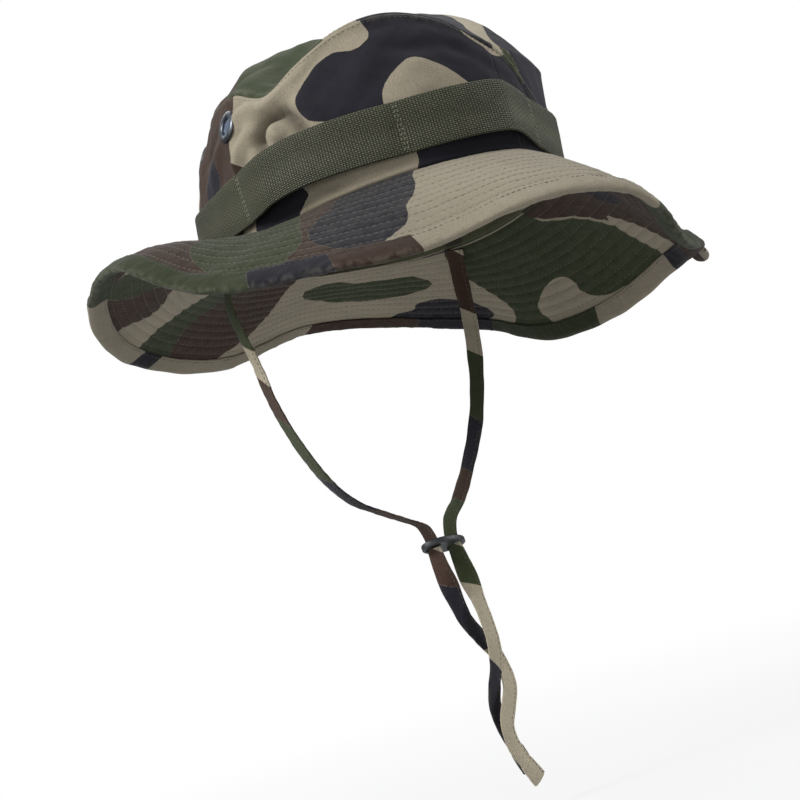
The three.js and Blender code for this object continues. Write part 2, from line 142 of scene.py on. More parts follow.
# Name, degrees round the hat, degrees up, distance, size in metres and watts
LAMPS = [("overhead_softbox", 60, 66, 1.6, 1.0, 3), ("left_softbox", 105, 34, 1.7, 0.7, 31),
         ("right_softbox", -48, 28, 1.7, 0.9, 24), ("low_front_softbox", 50, 4, 1.8, 1.0, 8),
         ("back_softbox", 205, 40, 1.8, 1.2, 9)]
# Height of direction where the dome light starts and ends its rise, and its strength there
DOME_FADE = (-0.3, 0.8, 0.05, 0.34)


def make_camera():
    azimuth, elevation = math.radians(VIEW_AZIMUTH), math.radians(VIEW_ELEVATION)
    back = Vector((-math.sin(azimuth) * math.cos(elevation),
                   -math.cos(azimuth) * math.cos(elevation), math.sin(elevation)))
    turn = back.to_track_quat("Z", "Y").to_matrix() @ Matrix.Rotation(math.radians(VIEW_ROLL), 3, "Z")
    data = bpy.data.cameras.new("view_camera")
    data.lens = LENS
    data.clip_start = 0.01
    camera = bpy.data.objects.new("view_camera", data)
    camera.matrix_world = Matrix.LocRotScale(VIEW_TARGET + back * VIEW_DISTANCE, turn, None)
    bpy.context.scene.collection.objects.link(camera)
    bpy.context.scene.camera = camera


def make_lamp(name, azimuth, elevation, distance, size, power):
    a, e = math.radians(azimuth), math.radians(elevation)
    away = Vector((-math.sin(a) * math.cos(e), -math.cos(a) * math.cos(e), math.sin(e)))
    data = bpy.data.lights.new(name, "AREA")
    data.shape = "DISK"
    data.size = size
    data.energy = power
    lamp = bpy.data.objects.new(name, data)
    lamp.matrix_world = Matrix.LocRotScale(away * distance, away.to_track_quat("Z", "Y"), None)
    bpy.context.scene.collection.objects.link(lamp)


def make_studio():
    """White surround for the camera; as light it is a dome that fades below the horizon."""
    world = bpy.data.worlds.new("studio")
    world.use_nodes = True
    tree = world.node_tree
    tree.nodes.clear()
    shown = tree.nodes.new("ShaderNodeBackground")
    shown.inputs["Color"].default_value = (1, 1, 1, 1)
    dome = tree.nodes.new("ShaderNodeBackground")
    dome.inputs["Color"].default_value = (0.93, 0.97, 1.0, 1)
    way = tree.nodes.new("ShaderNodeTexCoord")
    split = tree.nodes.new("ShaderNodeSeparateXYZ")
    rise = tree.nodes.new("ShaderNodeMapRange")
    for socket, number in zip(("From Min", "From Max", "To Min", "To Max"), DOME_FADE):
        rise.inputs[socket].default_value = number
    path = tree.nodes.new("ShaderNodeLightPath")
    mix = tree.nodes.new("ShaderNodeMixShader")
    output = tree.nodes.new("ShaderNodeOutputWorld")
    tree.links.new(way.outputs["Generated"], split.inputs[0])
    tree.links.new(split.outputs["Z"], rise.inputs["Value"])
    tree.links.new(rise.outputs[0], dome.inputs["Strength"])
    tree.links.new(path.outputs["Is Camera Ray"], mix.inputs[0])
    tree.links.new(dome.outputs[0], mix.inputs[1])
    tree.links.new(shown.outputs[0], mix.inputs[2])
    tree.links.new(mix.outputs[0], output.inputs[0])
    bpy.context.scene.world = world
    bpy.context.scene.view_settings.view_transform = "Standard"
    for name, azimuth, elevation, distance, size, power in LAMPS:
        make_lamp(name, azimuth, elevation, distance, size, power)


def make_floor():
    steps, radius = 96, 6.0
    ring = [(radius * math.cos(2 * math.pi * i / steps), radius * math.sin(2 * math.pi * i / steps),
             FLOOR_HEIGHT) for i in range(steps)]
    mesh = bpy.data.meshes.new("floor")
    mesh.from_pydata(ring, [], [list(range(steps))])
    floor = bpy.data.objects.new("floor", mesh)
    bpy.context.scene.collection.objects.link(floor)
    material = Shader("floor_paint")
    spot = material.node("ShaderNodeTexCoord").outputs["Object"]
    reach = material.math("LENGTH", spot)
    fade = material.ramp(reach, 0.15, 0.9)
    diffuse = material.node("ShaderNodeBsdfDiffuse")
    diffuse.inputs["Color"].default_value = (0.45, 0.45, 0.46, 1)
    glow = material.node("ShaderNodeEmission")
    mix = material.node("ShaderNodeMixShader")
    seen = material.node("ShaderNodeLightPath").outputs["Is Camera Ray"]
    shown = material.math("ADD", material.math("MULTIPLY", fade, 0.22), 0.78)
    material.link(material.math("MULTIPLY", shown, seen), mix.inputs[0])
    material.link(diffuse.outputs[0], mix.inputs[1])
    material.link(glow.outputs[0], mix.inputs[2])
    material.link(mix.outputs[0], material.output.inputs["Surface"])
    mesh.materials.append(material.made)


# ---------------------------------------------------------------- shader helper
class Shader:
    """A material and short calls that add nodes to it."""

    def __init__(self, name):
        self.made = bpy.data.materials.new(name)
        self.made.use_nodes = True
        self.tree = self.made.node_tree
        self.tree.nodes.clear()
        self.output = self.node("ShaderNodeOutputMaterial")

    def node(self, kind):
        return self.tree.nodes.new(kind)

    def link(self, source, target):
        self.tree.links.new(source, target)

    def feed(self, value, target):
        if isinstance(value, bpy.types.NodeSocket):
            self.link(value, target)
        else:
            target.default_value = value

    def math(self, operation, a, b=None):
        if operation == "LENGTH":
            made = self.node("ShaderNodeVectorMath")
            made.operation = operation
            self.link(a, made.inputs[0])
            return made.outputs["Value"]
        made = self.node("ShaderNodeMath")
        made.operation = operation
        self.feed(a, made.inputs[0])
        if b is not None:
            self.feed(b, made.inputs[1])
        return made.outputs[0]

    def ramp(self, value, low, high, bottom=0.0, top=1.0):
        made = self.node("ShaderNodeMapRange")
        made.interpolation_type = "SMOOTHSTEP"
        self.feed(value, made.inputs["Value"])
        for socket, number in (("From Min", low), ("From Max", high), ("To Min", bottom), ("To Max", top)):
            made.inputs[socket].default_value = number
        return made.outputs[0]

    def mix(self, share, a, b, blend="MIX"):
        made = self.node("ShaderNodeMix")
        made.data_type = "RGBA"
        made.blend_type = blend
        self.feed(share, made.inputs[0])
        self.feed(a, made.inputs[6])
        self.feed(b, made.inputs[7])
        return made.outputs[2]

    def attribute(self, name):
        made = self.node("ShaderNodeAttribute")
        made.attribute_name = name
        return made.outputs["Fac"]

    def place(self):
        return self.node("ShaderNodeTexCoord").outputs["Object"]

    def noise(self, scale, detail=3, vector=None):
        made = self.node("ShaderNodeTexNoise")
        self.link(vector or self.place(), made.inputs["Vector"])
        made.inputs["Scale"].default_value = scale
        made.inputs["Detail"].default_value = detail
        return made.outputs["Fac"]

    def uv(self):
        split = self.node("ShaderNodeSeparateXYZ")
        source = self.node("ShaderNodeUVMap")
        source.uv_map = "UVMap"
        self.link(source.outputs[0], split.inputs[0])
        return split.outputs[0], split.outputs[1]

    def wave(self, value, pitch):
        """Smooth ridges from 0 to 1, one to each pitch in metres."""
        turned = self.math("MULTIPLY", value, 2 * math.pi / pitch)
        return self.math("ADD", self.math("MULTIPLY", self.math("SINE", turned), 0.5), 0.5)

    def bump(self, height, distance, normal=None):
        made = self.node("ShaderNodeBump")
        made.inputs["Strength"].default_value = 1.0
        made.inputs["Distance"].default_value = distance
        self.link(height, made.inputs["Height"])
        if normal is not None:
            self.link(normal, made.inputs["Normal"])
        return made.outputs[0]

    def finish(self, colour, roughness, normal=None, metallic=0.0, sheen=0.0, specular=0.3):
        made = self.node("ShaderNodeBsdfPrincipled")
        self.feed(colour, made.inputs["Base Color"])
        self.feed(roughness, made.inputs["Roughness"])
        made.inputs["Metallic"].default_value = metallic
        made.inputs["Sheen Weight"].default_value = sheen
        made.inputs["Sheen Roughness"].default_value = 0.5
        made.inputs["Specular IOR Level"].default_value = specular
        if normal is not None:
            self.link(normal, made.inputs["Normal"])
        self.link(made.outputs[0], self.output.inputs["Surface"])
        return self.made


def paint(red, green, blue):
    """A colour from 8-bit display values."""
    def linear(value):
        value /= 255
        return value / 12.92 if value <= 0.04045 else ((value + 0.055) / 1.055) ** 2.4
    return (linear(red), linear(green), linear(blue), 1)


BEIGE = paint(136, 128, 111)
BROWN = paint(55, 42, 35)
GREEN = paint(49, 55, 37)
BLACK = paint(32, 31, 37)
WEBBING = paint(104, 103, 78)
# Painted shade in the gaps between the webbing's floats
WEBBING_GAP_SHADING = paint(22, 24, 16)
WEAVE_ALONG = 0.00132
WEAVE_ACROSS = 0.001
THREAD = paint(98, 93, 76)
LINING = paint(86, 88, 66)


def camouflage_cloth(name, painted_light_level=1.0, twill=0.0009):
    """Printed cotton: four colours with soft-edged blotches, faded yarns and a twill weave. Painted shade
    darkens the bottoms of the folds, and the whole colour is scaled lighter or darker for each part as
    painted light and shade.
    """
    s = Shader(name)
    ragged = s.math("MULTIPLY", s.math("SUBTRACT", s.noise(900, 2), 0.5), 0.5)
    colour = BEIGE
    for label, tint in (("brown", BROWN), ("green", GREEN), ("black", BLACK)):
        edge = s.ramp(s.math("ADD", s.attribute(label), ragged), -0.16, 0.16)
        colour = s.mix(edge, colour, tint)
    # Random patches, around the part's level of painted light and shade
    patchy = s.ramp(s.noise(22, 3), 0.3, 0.7, 0.93 * painted_light_level, 1.07 * painted_light_level)
    speckle = s.ramp(s.noise(2400, 1), 0.35, 0.68, 0.86, 1.16)
    value = s.math("MULTIPLY", patchy, speckle)
    bright = s.node("ShaderNodeCombineColor")
    for socket in range(3):
        s.link(value, bright.inputs[socket])
    colour = s.mix(1.0, colour, bright.outputs[0], "MULTIPLY")
    worn = s.math("MULTIPLY", s.attribute("wear"), s.ramp(s.noise(260, 3), 0.35, 0.65))
    colour = s.mix(s.math("MULTIPLY", worn, 0.1), colour, paint(170, 164, 148))
    # Painted shade: the bottoms of the folds are darkened in the colour, beyond what the light alone makes
    # them
    colour = s.mix(s.math("MULTIPLY", s.attribute("painted_fold_shading"), 0.6), colour, paint(40, 36, 31))
    along, across = s.uv()
    rib = s.wave(s.math("ADD", along, across), twill)
    weft = s.wave(across, twill * 0.7)
    weave = s.math("ADD", s.math("MULTIPLY", rib, 0.7), s.math("MULTIPLY", weft, 0.3))
    normal = s.bump(s.noise(320, 4), 0.00035)
    normal = s.bump(weave, 0.00005, normal)
    return s.finish(colour, 0.95, normal, sheen=0.08, specular=0.12)


def webbing_cloth():
    """Olive nylon webbing in a basket weave: pale floats on alternate cells, with painted shade in the
    dark gaps between them.
    """
    s = Shader("foliage_webbing")
    along, across = s.uv()
    slack = s.math("MULTIPLY", s.math("SUBTRACT", s.noise(90, 2), 0.5), 0.0012)
    along = s.math("ADD", along, slack)
    float_along = s.math("SINE", s.math("MULTIPLY", along, math.pi / WEAVE_ALONG))
    float_across = s.math("SINE", s.math("MULTIPLY", across, math.pi / WEAVE_ACROSS))
    columns = s.math("MULTIPLY", float_along, float_along)
    rows = s.math("MULTIPLY", float_across, float_across)
    checks = s.math("MULTIPLY", s.math("MULTIPLY", float_along, float_across), 0.22)
    basket = s.math("ADD", s.math("MULTIPLY", columns, rows), checks)
    uneven = s.math("MULTIPLY", s.math("SUBTRACT", s.noise(1100, 2), 0.5), 0.7)
    basket = s.math("ADD", basket, uneven)
    # Painted shade: the low places of the weave, between the floats, take the dark gap colour
    colour = s.mix(s.ramp(basket, 0.02, 0.98), WEBBING_GAP_SHADING, WEBBING)
    patchy = s.ramp(s.noise(30, 3), 0.3, 0.7, 0.0, 0.14)
    colour = s.mix(patchy, colour, paint(88, 92, 68))
    normal = s.bump(basket, 0.00022)
    return s.finish(colour, 0.66, normal, sheen=0.05, specular=0.3)


def plain_cloth(name, tint, pitch=0.0008, roughness=0.92):
    s = Shader(name)
    patchy = s.ramp(s.noise(60, 3), 0.3, 0.7)
    darker = tuple(0.78 * c for c in tint[:3]) + (1,)
    colour = s.mix(patchy, darker, tint)
    along, across = s.uv()
    weave = s.math("MULTIPLY", s.wave(along, pitch), s.wave(across, pitch))
    normal = s.bump(weave, 0.00006)
    return s.finish(colour, roughness, normal, sheen=0.1, specular=0.2)


def thread_finish(name, tint):
    s = Shader(name)
    twist = s.noise(2600, 2)
    colour = s.mix(s.ramp(twist, 0.3, 0.7), tuple(0.72 * c for c in tint[:3]) + (1,), tint)
    return s.finish(colour, 0.7, s.bump(twist, 0.00006), sheen=0.15)


def metal_finish(name, tint, rough):
    s = Shader(name)
    wear = s.noise(500, 4)
    colour = s.mix(s.ramp(wear, 0.45, 0.75), tint, tuple(min(1, 2.2 * c) for c in tint[:3]) + (1,))
    roughness = s.ramp(s.noise(900, 3), 0.3, 0.7, rough - 0.08, rough + 0.12)
    return s.finish(colour, roughness, s.bump(wear, 0.00003), metallic=0.85, specular=0.5)


def plastic_finish():
    s = Shader("slider_plastic")
    grain = s.noise(1800, 2)
    scuff = s.ramp(s.noise(240, 5), 0.55, 0.75)
    colour = s.mix(s.math("MULTIPLY", scuff, 0.4), paint(40, 43, 46), paint(92, 95, 98))
    return s.finish(colour, s.ramp(grain, 0.2, 0.8, 0.4, 0.55), s.bump(grain, 0.00003), specular=0.5)


# ---------------------------------------------------------------- the hat's surfaces
def around(table, angle):
    """Value of a periodic table at an angle, by a cubic curve through its neighbours."""
    x = np.array([t[0] for t in table], float)
    y = np.array([t[1] for t in table], float)
    xs = np.concatenate([x - 360, x, x + 360])
    ys = np.concatenate([y, y, y])
    a = (np.asarray(angle, float) - x[0]) % 360 + x[0]
    i = np.clip(np.searchsorted(xs, a, side="right") - 1, 1, len(xs) - 3)
    x0, x1, x2, x3 = xs[i - 1], xs[i], xs[i + 1], xs[i + 2]
    y0, y1, y2, y3 = ys[i - 1], ys[i], ys[i + 1], ys[i + 2]
    t = (a - x1) / (x2 - x1)
    m1 = (y2 - y0) / (x2 - x0) * (x2 - x1)
    m2 = (y3 - y1) / (x3 - x1) * (x2 - x1)
    return ((2 * t**3 - 3 * t**2 + 1) * y1 + (t**3 - 2 * t**2 + t) * m1
            + (3 * t**2 - 2 * t**3) * y2 + (t**3 - t**2) * m2)


def opening(angle):
    a = np.radians(angle)
    point = np.stack([-HEAD_HALF_WIDTH * np.sin(a), -HEAD_HALF_LENGTH * np.cos(a), 0 * a], -1)
    out = np.stack([-np.sin(a) / HEAD_HALF_WIDTH, -np.cos(a) / HEAD_HALF_LENGTH, 0 * a], -1)
    return point, out / np.linalg.norm(out, axis=-1, keepdims=True)


def pair(angle, along):
    return np.broadcast_arrays(np.asarray(angle, float), np.asarray(along, float))


def seam_height(angle):
    return around(SEAM_HEIGHT, angle) + around(SEAM_LIFT, angle)


def wall_height(angle):
    return around(RIM_HEIGHT, angle) - seam_height(angle)


def top_seam_share(angle):
    """Share of the wall's height at which the top seam lies, always just under the rim."""
    return np.minimum(around(TOP_SEAM, angle), 0.992)


def wall(angle, share):
    """Crown wall: height share 0 at the seam, 1 at the rim."""
    angle, share = pair(angle, share)
    point, out = opening(angle)
    up = np.clip(share, 0, 1)
    point = point * (1 + (around(RIM_SCALE, angle) - 1) * up**2.2)[..., None]
    swell = around(WALL_BELLY, angle) * np.sin(np.pi * up) - around(SEAM_TUCK, angle) * (1 - up**3)
    point = point + out * swell[..., None]
    point[..., 2] = seam_height(angle) + wall_height(angle) * share
    return point


def panel(angle, share):
    """Top panel: share 0 at the rim, 1 at the middle of the crown."""
    angle, share = pair(angle, share)
    point, _ = opening(angle)
    rim = around(RIM_HEIGHT, angle)
    full = np.clip(around(PANEL_FULLNESS, angle), 0, 1)
    rounded = 1 - np.clip(1 - share, 0, 1) ** 3.4
    gentle = share * share * (3 - 2 * share)
    point = point * (around(RIM_SCALE, angle) * (1 - share))[..., None]
    point[..., 2] = rim + (CROWN_APEX - rim) * (full * rounded + (1 - full) * gentle)
    return point


def brim(angle, distance):
    """Brim: distance from the seam along the cloth, in a slope that curls steadily."""
    angle, distance = pair(angle, distance)
    point, out = opening(angle)
    mean, curl = around(BRIM_SLOPE, angle), around(BRIM_CURL, angle)
    rest = np.clip(1 - distance / BRIM_WIDTH, 0, 1) ** 1.6
    point = point - out * (around(SEAM_TUCK, angle) * rest)[..., None]
    point[..., 2] = around(SEAM_HEIGHT, angle) + around(SEAM_LIFT, angle) * rest
    steps = 8
    for i in range(steps):
        middle = distance * (i + 0.5) / steps / BRIM_WIDTH
        slope = np.radians(mean + curl * (middle - 0.5))
        point = point + out * (distance / steps * np.cos(slope))[..., None]
        point[..., 2] += distance / steps * np.sin(slope)
    return point


def normals(surface, angle, along, step):
    """Unit normals, on the side that is up on the brim and outside on the crown."""
    du = surface(angle + 0.05, along) - surface(angle - 0.05, along)
    dv = surface(angle, along + step) - surface(angle, along - step)
    n = np.cross(du, dv) * (1 if surface is brim else -1)
    return n / np.maximum(np.linalg.norm(n, axis=-1, keepdims=True), 1e-9)


def wall_normals(angle, share):
    return normals(wall, angle, share, 0.004)


def brim_normals(angle, distance):
    return normals(brim, angle, distance, 0.05)


def bell(distance, width):
    """A smooth bump: 1 at no distance, and fading over the width."""
    return np.exp(-((distance / width) ** 2))


def ripples(points, size, seed):
    """Smooth wandering waves of about that size in millimetres, from -1 to 1."""
    rng = np.random.default_rng(seed)
    total = np.zeros(points.shape[:-1])
    for _ in range(7):
        way = rng.normal(size=3)
        way /= np.linalg.norm(way)
        total += np.sin(points @ way * (2 * np.pi / size * rng.uniform(0.6, 1.5)) + rng.uniform(0, 6.3))
    return total / 3.5


def brim_waves(points):
    """Slow waves that all the layers of the brim share."""
    return 0.55 * ripples(points, 60, 21) + 0.22 * ripples(points, 17, 22)


def crease(angle, up, start, end, width, depth, per_degree=1.5):
    """A crease along a line on a surface: a smooth ridge, or a dent if depth is negative."""
    p = np.stack([angle * per_degree, up], -1)
    a = np.array([start[0] * per_degree, start[1]])
    b = np.array([end[0] * per_degree, end[1]])
    t = np.clip(((p - a) @ (b - a)) / ((b - a) @ (b - a)), 0, 1)
    gap = np.linalg.norm(p - a - t[..., None] * (b - a), axis=-1)
    taper = np.sin(np.pi * np.clip(0.12 + 0.76 * t, 0, 1))
    return depth * taper * bell(gap, width)


# ---------------------------------------------------------------- mesh helpers
def make_object(name, points, faces, material, uv=None, attributes=None, smooth=True):
    """Mesh from points in millimetres. uv is per face corner, in metres."""
    mesh = bpy.data.meshes.new(name)
    faces = np.asarray(faces, np.int32)
    mesh.vertices.add(len(points))
    mesh.vertices.foreach_set("co", (np.asarray(points, float) * MM).astype(np.float32).ravel())
    sides = faces.shape[1]
    mesh.loops.add(faces.size)
    mesh.loops.foreach_set("vertex_index", faces.ravel())
    mesh.polygons.add(len(faces))
    mesh.polygons.foreach_set("loop_start", np.arange(0, faces.size, sides, dtype=np.int32))
    mesh.update(calc_edges=True)
    if smooth:
        mesh.polygons.foreach_set("use_smooth", np.ones(len(faces), bool))
    if uv is not None:
        layer = mesh.uv_layers.new(name="UVMap")
        layer.data.foreach_set("uv", np.asarray(uv, np.float32).ravel())
    for label, values in (attributes or {}).items():
        layer = mesh.attributes.new(label, "FLOAT", "POINT")
        layer.data.foreach_set("value", np.asarray(values, np.float32).ravel())
    mesh.materials.append(material)
    mesh.validate()
    made = bpy.data.objects.new(name, mesh)
    bpy.context.scene.collection.objects.link(made)
    return made


def grid_faces(columns, rows, ring_columns=False, ring_rows=False):
    """Quads over a grid of points, with the corner indices of each."""
    c = np.arange(columns if ring_columns else columns - 1)
    r = np.arange(rows if ring_rows else rows - 1)
    c, r = (x.ravel() for x in np.meshgrid(c, r, indexing="ij"))
    c2, r2 = (c + 1) % columns, (r + 1) % rows
    return np.stack([c * rows + r, c2 * rows + r, c2 * rows + r2, c * rows + r2], 1)


def grid_uv(grid, faces, rows):
    """Lengths along and across a grid in metres, kept whole where it meets itself."""
    along = np.linalg.norm(np.diff(grid, axis=0, append=grid[:1]), axis=-1).mean(1)
    across = np.linalg.norm(np.diff(grid, axis=1), axis=-1).mean(0)
    u = np.concatenate([[0], np.cumsum(along)])
    v = np.concatenate([[0], np.cumsum(across), [np.sum(across)]])
    column, row = faces // rows, faces % rows
    wrapped = (column == 0) & (column.max(1, keepdims=True) > 1)
    over = (row == 0) & (row.max(1, keepdims=True) > 1)
    column = np.where(wrapped, len(grid), column)
    row = np.where(over, grid.shape[1], row)
    return np.stack([u[column], v[row]], -1) * MM


def cloth_sheet(name, grid, material, thick, ring=False, attributes=None, keep=None, offset=0.0):
    """A sheet of cloth over a grid of points, with its real thickness."""
    columns, rows = grid.shape[:2]
    faces = grid_faces(columns, rows, ring)
    uv = grid_uv(grid, faces, rows)
    if keep is not None:
        kept = keep.ravel()[faces].all(1)
        faces, uv = faces[kept], uv[kept]
    made = make_object(name, grid.reshape(-1, 3), faces, material, uv.reshape(-1, 2), attributes)
    if keep is not None:
        drop_loose(made)
    solid = made.modifiers.new("thickness", "SOLIDIFY")
    solid.thickness = thick * MM
    solid.offset = offset
    return made


def drop_loose(made):
    """Removes points that no face uses."""
    work = bmesh.new()
    work.from_mesh(made.data)
    bmesh.ops.delete(work, geom=[v for v in work.verts if not v.link_faces], context="VERTS")
    work.to_mesh(made.data)
    work.free()


def closed_loft(name, loops, material, ring=False, attributes=None):
    """A solid through loops of equal length; the ends are capped unless it is a ring."""
    columns, rows = loops.shape[:2]
    faces = grid_faces(columns, rows, ring, True)
    uv = grid_uv(loops, faces, rows).reshape(-1, 2)
    points = loops.reshape(-1, 3)
    if not ring:
        tips = np.stack([loops[0].mean(0), loops[-1].mean(0)])
        points = np.concatenate([points, tips])
        n, j = columns * rows, np.arange(rows)
        k = (j + 1) % rows
        end = (columns - 1) * rows
        first = np.stack([np.full(rows, n), k, j], 1)
        last = np.stack([np.full(rows, n + 1), end + j, end + k], 1)
        made = cap_and_make(name, points, faces, first, last, uv, material)
    else:
        made = make_object(name, points, faces, material, uv)
    for label, values in (attributes or {}).items():
        values = np.asarray(values, float).reshape(-1)
        if not ring:
            values = np.concatenate([values, values[[0, -1]]])
        layer = made.data.attributes.new(label, "FLOAT", "POINT")
        layer.data.foreach_set("value", values.astype(np.float32))
    return made


def cap_and_make(name, points, quads, first, last, uv, material):
    mesh = bpy.data.meshes.new(name)
    caps = np.concatenate([first, last])
    mesh.vertices.add(len(points))
    mesh.vertices.foreach_set("co", (points * MM).astype(np.float32).ravel())
    index = np.concatenate([quads.ravel(), caps.ravel()]).astype(np.int32)
    mesh.loops.add(len(index))
    mesh.loops.foreach_set("vertex_index", index)
    starts = np.concatenate([np.arange(0, quads.size, 4), quads.size + np.arange(0, caps.size, 3)])
    mesh.polygons.add(len(starts))
    mesh.polygons.foreach_set("loop_start", starts.astype(np.int32))
    mesh.update(calc_edges=True)
    mesh.polygons.foreach_set("use_smooth", np.ones(len(starts), bool))
    layer = mesh.uv_layers.new(name="UVMap")
    layer.data.foreach_set("uv", np.concatenate([uv.ravel(), np.zeros(2 * caps.size)]).astype(np.float32))
    mesh.materials.append(material)
    mesh.validate()
    made = bpy.data.objects.new(name, mesh)
    bpy.context.scene.collection.objects.link(made)
    return made


def stitches(name, rows, material, pitch, share=0.7, thick=0.34, sink=0.5):
    """Thread laid along rows of (points, normals): one small pinched bead to each stitch."""
    starts, ends, ups = [], [], []
    for points, tops in rows:
        length = np.concatenate([[0], np.cumsum(np.linalg.norm(np.diff(points, axis=0), axis=1))])
        count = max(int(length[-1] / pitch), 1)
        at = (np.arange(count) + 0.5 * (1 - share)) * length[-1] / count
        step = share * length[-1] / count
        for collection, where in ((starts, at), (ends, at + step)):
            collection.append(np.stack([np.interp(where, length, points[:, k]) for k in range(3)], 1))
        ups.append(np.stack([np.interp(at, length, tops[:, k]) for k in range(3)], 1))
    start, end, up = np.concatenate(starts), np.concatenate(ends), np.concatenate(ups)
    way = end - start
    way /= np.linalg.norm(way, axis=1, keepdims=True)
    side = np.cross(way, up)
    side /= np.linalg.norm(side, axis=1, keepdims=True)
    up = np.cross(side, way)
    # Share of the stitch's length, its fatness there and how far it is raised
    profile = [(0.0, 0.25, -1.0), (0.14, 0.8, -0.1), (0.5, 1.0, 0.35), (0.86, 0.8, -0.1),
               (1.0, 0.25, -1.0)]
    turns = np.radians(np.arange(5) * 72)
    rings = []
    for share_along, fat, raised in profile:
        centre = start + (end - start) * share_along + up * (thick * raised * sink)
        for t in turns:
            rings.append(centre + (side * math.cos(t) + up * math.sin(t)) * (thick / 2 * fat))
    count = len(start)
    points = np.stack(rings, 1)
    faces = []
    for i in range(len(profile) - 1):
        for j in range(5):
            k = (j + 1) % 5
            faces.append((i * 5 + j, i * 5 + k, (i + 1) * 5 + k, (i + 1) * 5 + j))
    faces = np.array(faces)
    all_faces = (faces[None] + (np.arange(count) * points.shape[1])[:, None, None]).reshape(-1, 4)
    return make_object(name, points.reshape(-1, 3), all_faces, material)


# ---------------------------------------------------------------- camouflage
def smooth_outline(points, steps=8):
    """A closed curve through the listed points."""
    p = np.array(points, float)
    before, after, beyond = np.roll(p, 1, 0), np.roll(p, -1, 0), np.roll(p, -2, 0)
    t = (np.arange(steps) / steps)[None, :, None]
    m1, m2 = (after - before)[:, None] / 2, (beyond - p)[:, None] / 2
    a, b = p[:, None], after[:, None]
    curve = ((2 * t**3 - 3 * t**2 + 1) * a + (t**3 - 2 * t**2 + t) * m1
             + (3 * t**2 - 2 * t**3) * b + (t**3 - t**2) * m2)
    return curve.reshape(-1, 2)


def inside_by(points, outline, reach=7.0):
    """How far each point is inside a closed outline, in millimetres; negative outside."""
    found = np.full(len(points), -reach)
    low, high = outline.min(0) - reach, outline.max(0) + reach
    near = np.flatnonzero(((points > low) & (points < high)).all(1))
    p = points[near]
    best = np.full(len(p), np.inf)
    crossings = np.zeros(len(p), bool)
    for a, b in zip(outline, np.roll(outline, -1, 0)):
        d = b - a
        t = np.clip(((p - a) @ d) / max(d @ d, 1e-9), 0, 1)
        best = np.minimum(best, ((p - a - t[:, None] * d) ** 2).sum(1))
        spans = (a[1] > p[:, 1]) != (b[1] > p[:, 1])
        if a[1] != b[1]:
            crossings ^= spans & (p[:, 0] < (b[0] - a[0]) * (p[:, 1] - a[1]) / (b[1] - a[1]) + a[0])
    gap = np.minimum(np.sqrt(best), reach)
    found[near] = np.where(crossings, gap, -gap)
    return found


def wavy(centre, half_width, half_height, phase):
    """Outline of a generic blotch: a lumpy oval."""
    t = np.radians(np.arange(0, 360, 30))
    r = 1 + 0.24 * np.sin(2 * t + phase) + 0.16 * np.sin(3 * t + 2.1 * phase)
    return np.stack([centre[0] + half_width * r * np.cos(t), centre[1] + half_height * r * np.sin(t)], 1)


def camouflage(x, y, blotches, per_degree=1.0, wrap=False):
    """Paints blotches in order. Each is (colour, outline). Gives one signed distance to each colour."""
    points = np.stack([np.ravel(x) * per_degree, np.ravel(y)], 1)
    layers = {label: np.full(len(points), -7.0) for label in ("brown", "green", "black")}
    for colour, outline in blotches:
        curve = smooth_outline(outline) * [per_degree, 1]
        shape = inside_by(points, curve)
        if wrap:
            for turn in (-360 * per_degree, 360 * per_degree):
                shape = np.maximum(shape, inside_by(points, curve + [turn, 0]))
        for label in layers:
            if label == colour:
                layers[label] = np.maximum(layers[label], shape)
            else:
                layers[label] = np.minimum(layers[label], -shape)
    return layers


WALL_BLOTCHES = [
    ("black", [(39, 88), (38.5, 69), (41, 64.5), (45, 63.5), (51, 66), (57, 63.5), (62.5, 57), (65, 50),
               (65, 45), (63, 40), (60, 37), (55, 34), (48, 32), (41.5, 31.5), (40, 39), (37, 45),
               (31.5, 50), (28, 51), (23.5, 48), (18, 42.5), (14, 36), (12, 30), (20, 24), (30, 18),
               (35, 10), (35.5, 5), (34.5, -6), (0, -6), (-30, -6), (-45, 8), (-50, 30), (-42, 50),
               (-20, 52), (-3, 48), (1, 52), (5, 56), (8, 61), (8.5, 70), (8, 88)]),
    ("black", [(69, 9), (71, 5), (73.5, 1), (74, -6), (90, -6), (90, 6), (84, 14), (74, 16)]),
    ("brown", [(91, 88), (92, 72), (93.5, 60), (94, 50), (93, 44), (90, 39), (87, 34), (85, 28),
               (90, 18),
               (96, 8), (108, -6), (128, -6), (135, 20), (128, 44), (136, 62), (130, 88)]),
    ("black", [(104, 47), (109, 52), (115, 44), (117, 34), (124, 26), (120, 14), (110, 18), (105, 32)]),
    ("green", wavy((160, 22), 22, 17, 0.5)),
    ("black", wavy((168, 62), 24, 13, 2.0)),
    ("brown", wavy((-155, 34), 17, 20, 1.1)),
    ("green", wavy((-118, 54), 20, 16, 3.0)),
    ("black", wavy((-124, 12), 24, 12, 4.2)),
    ("brown", wavy((-80, 26), 16, 16, 0.2)),
    ("green", wavy((-66, 4), 14, 10, 5.0)),
]
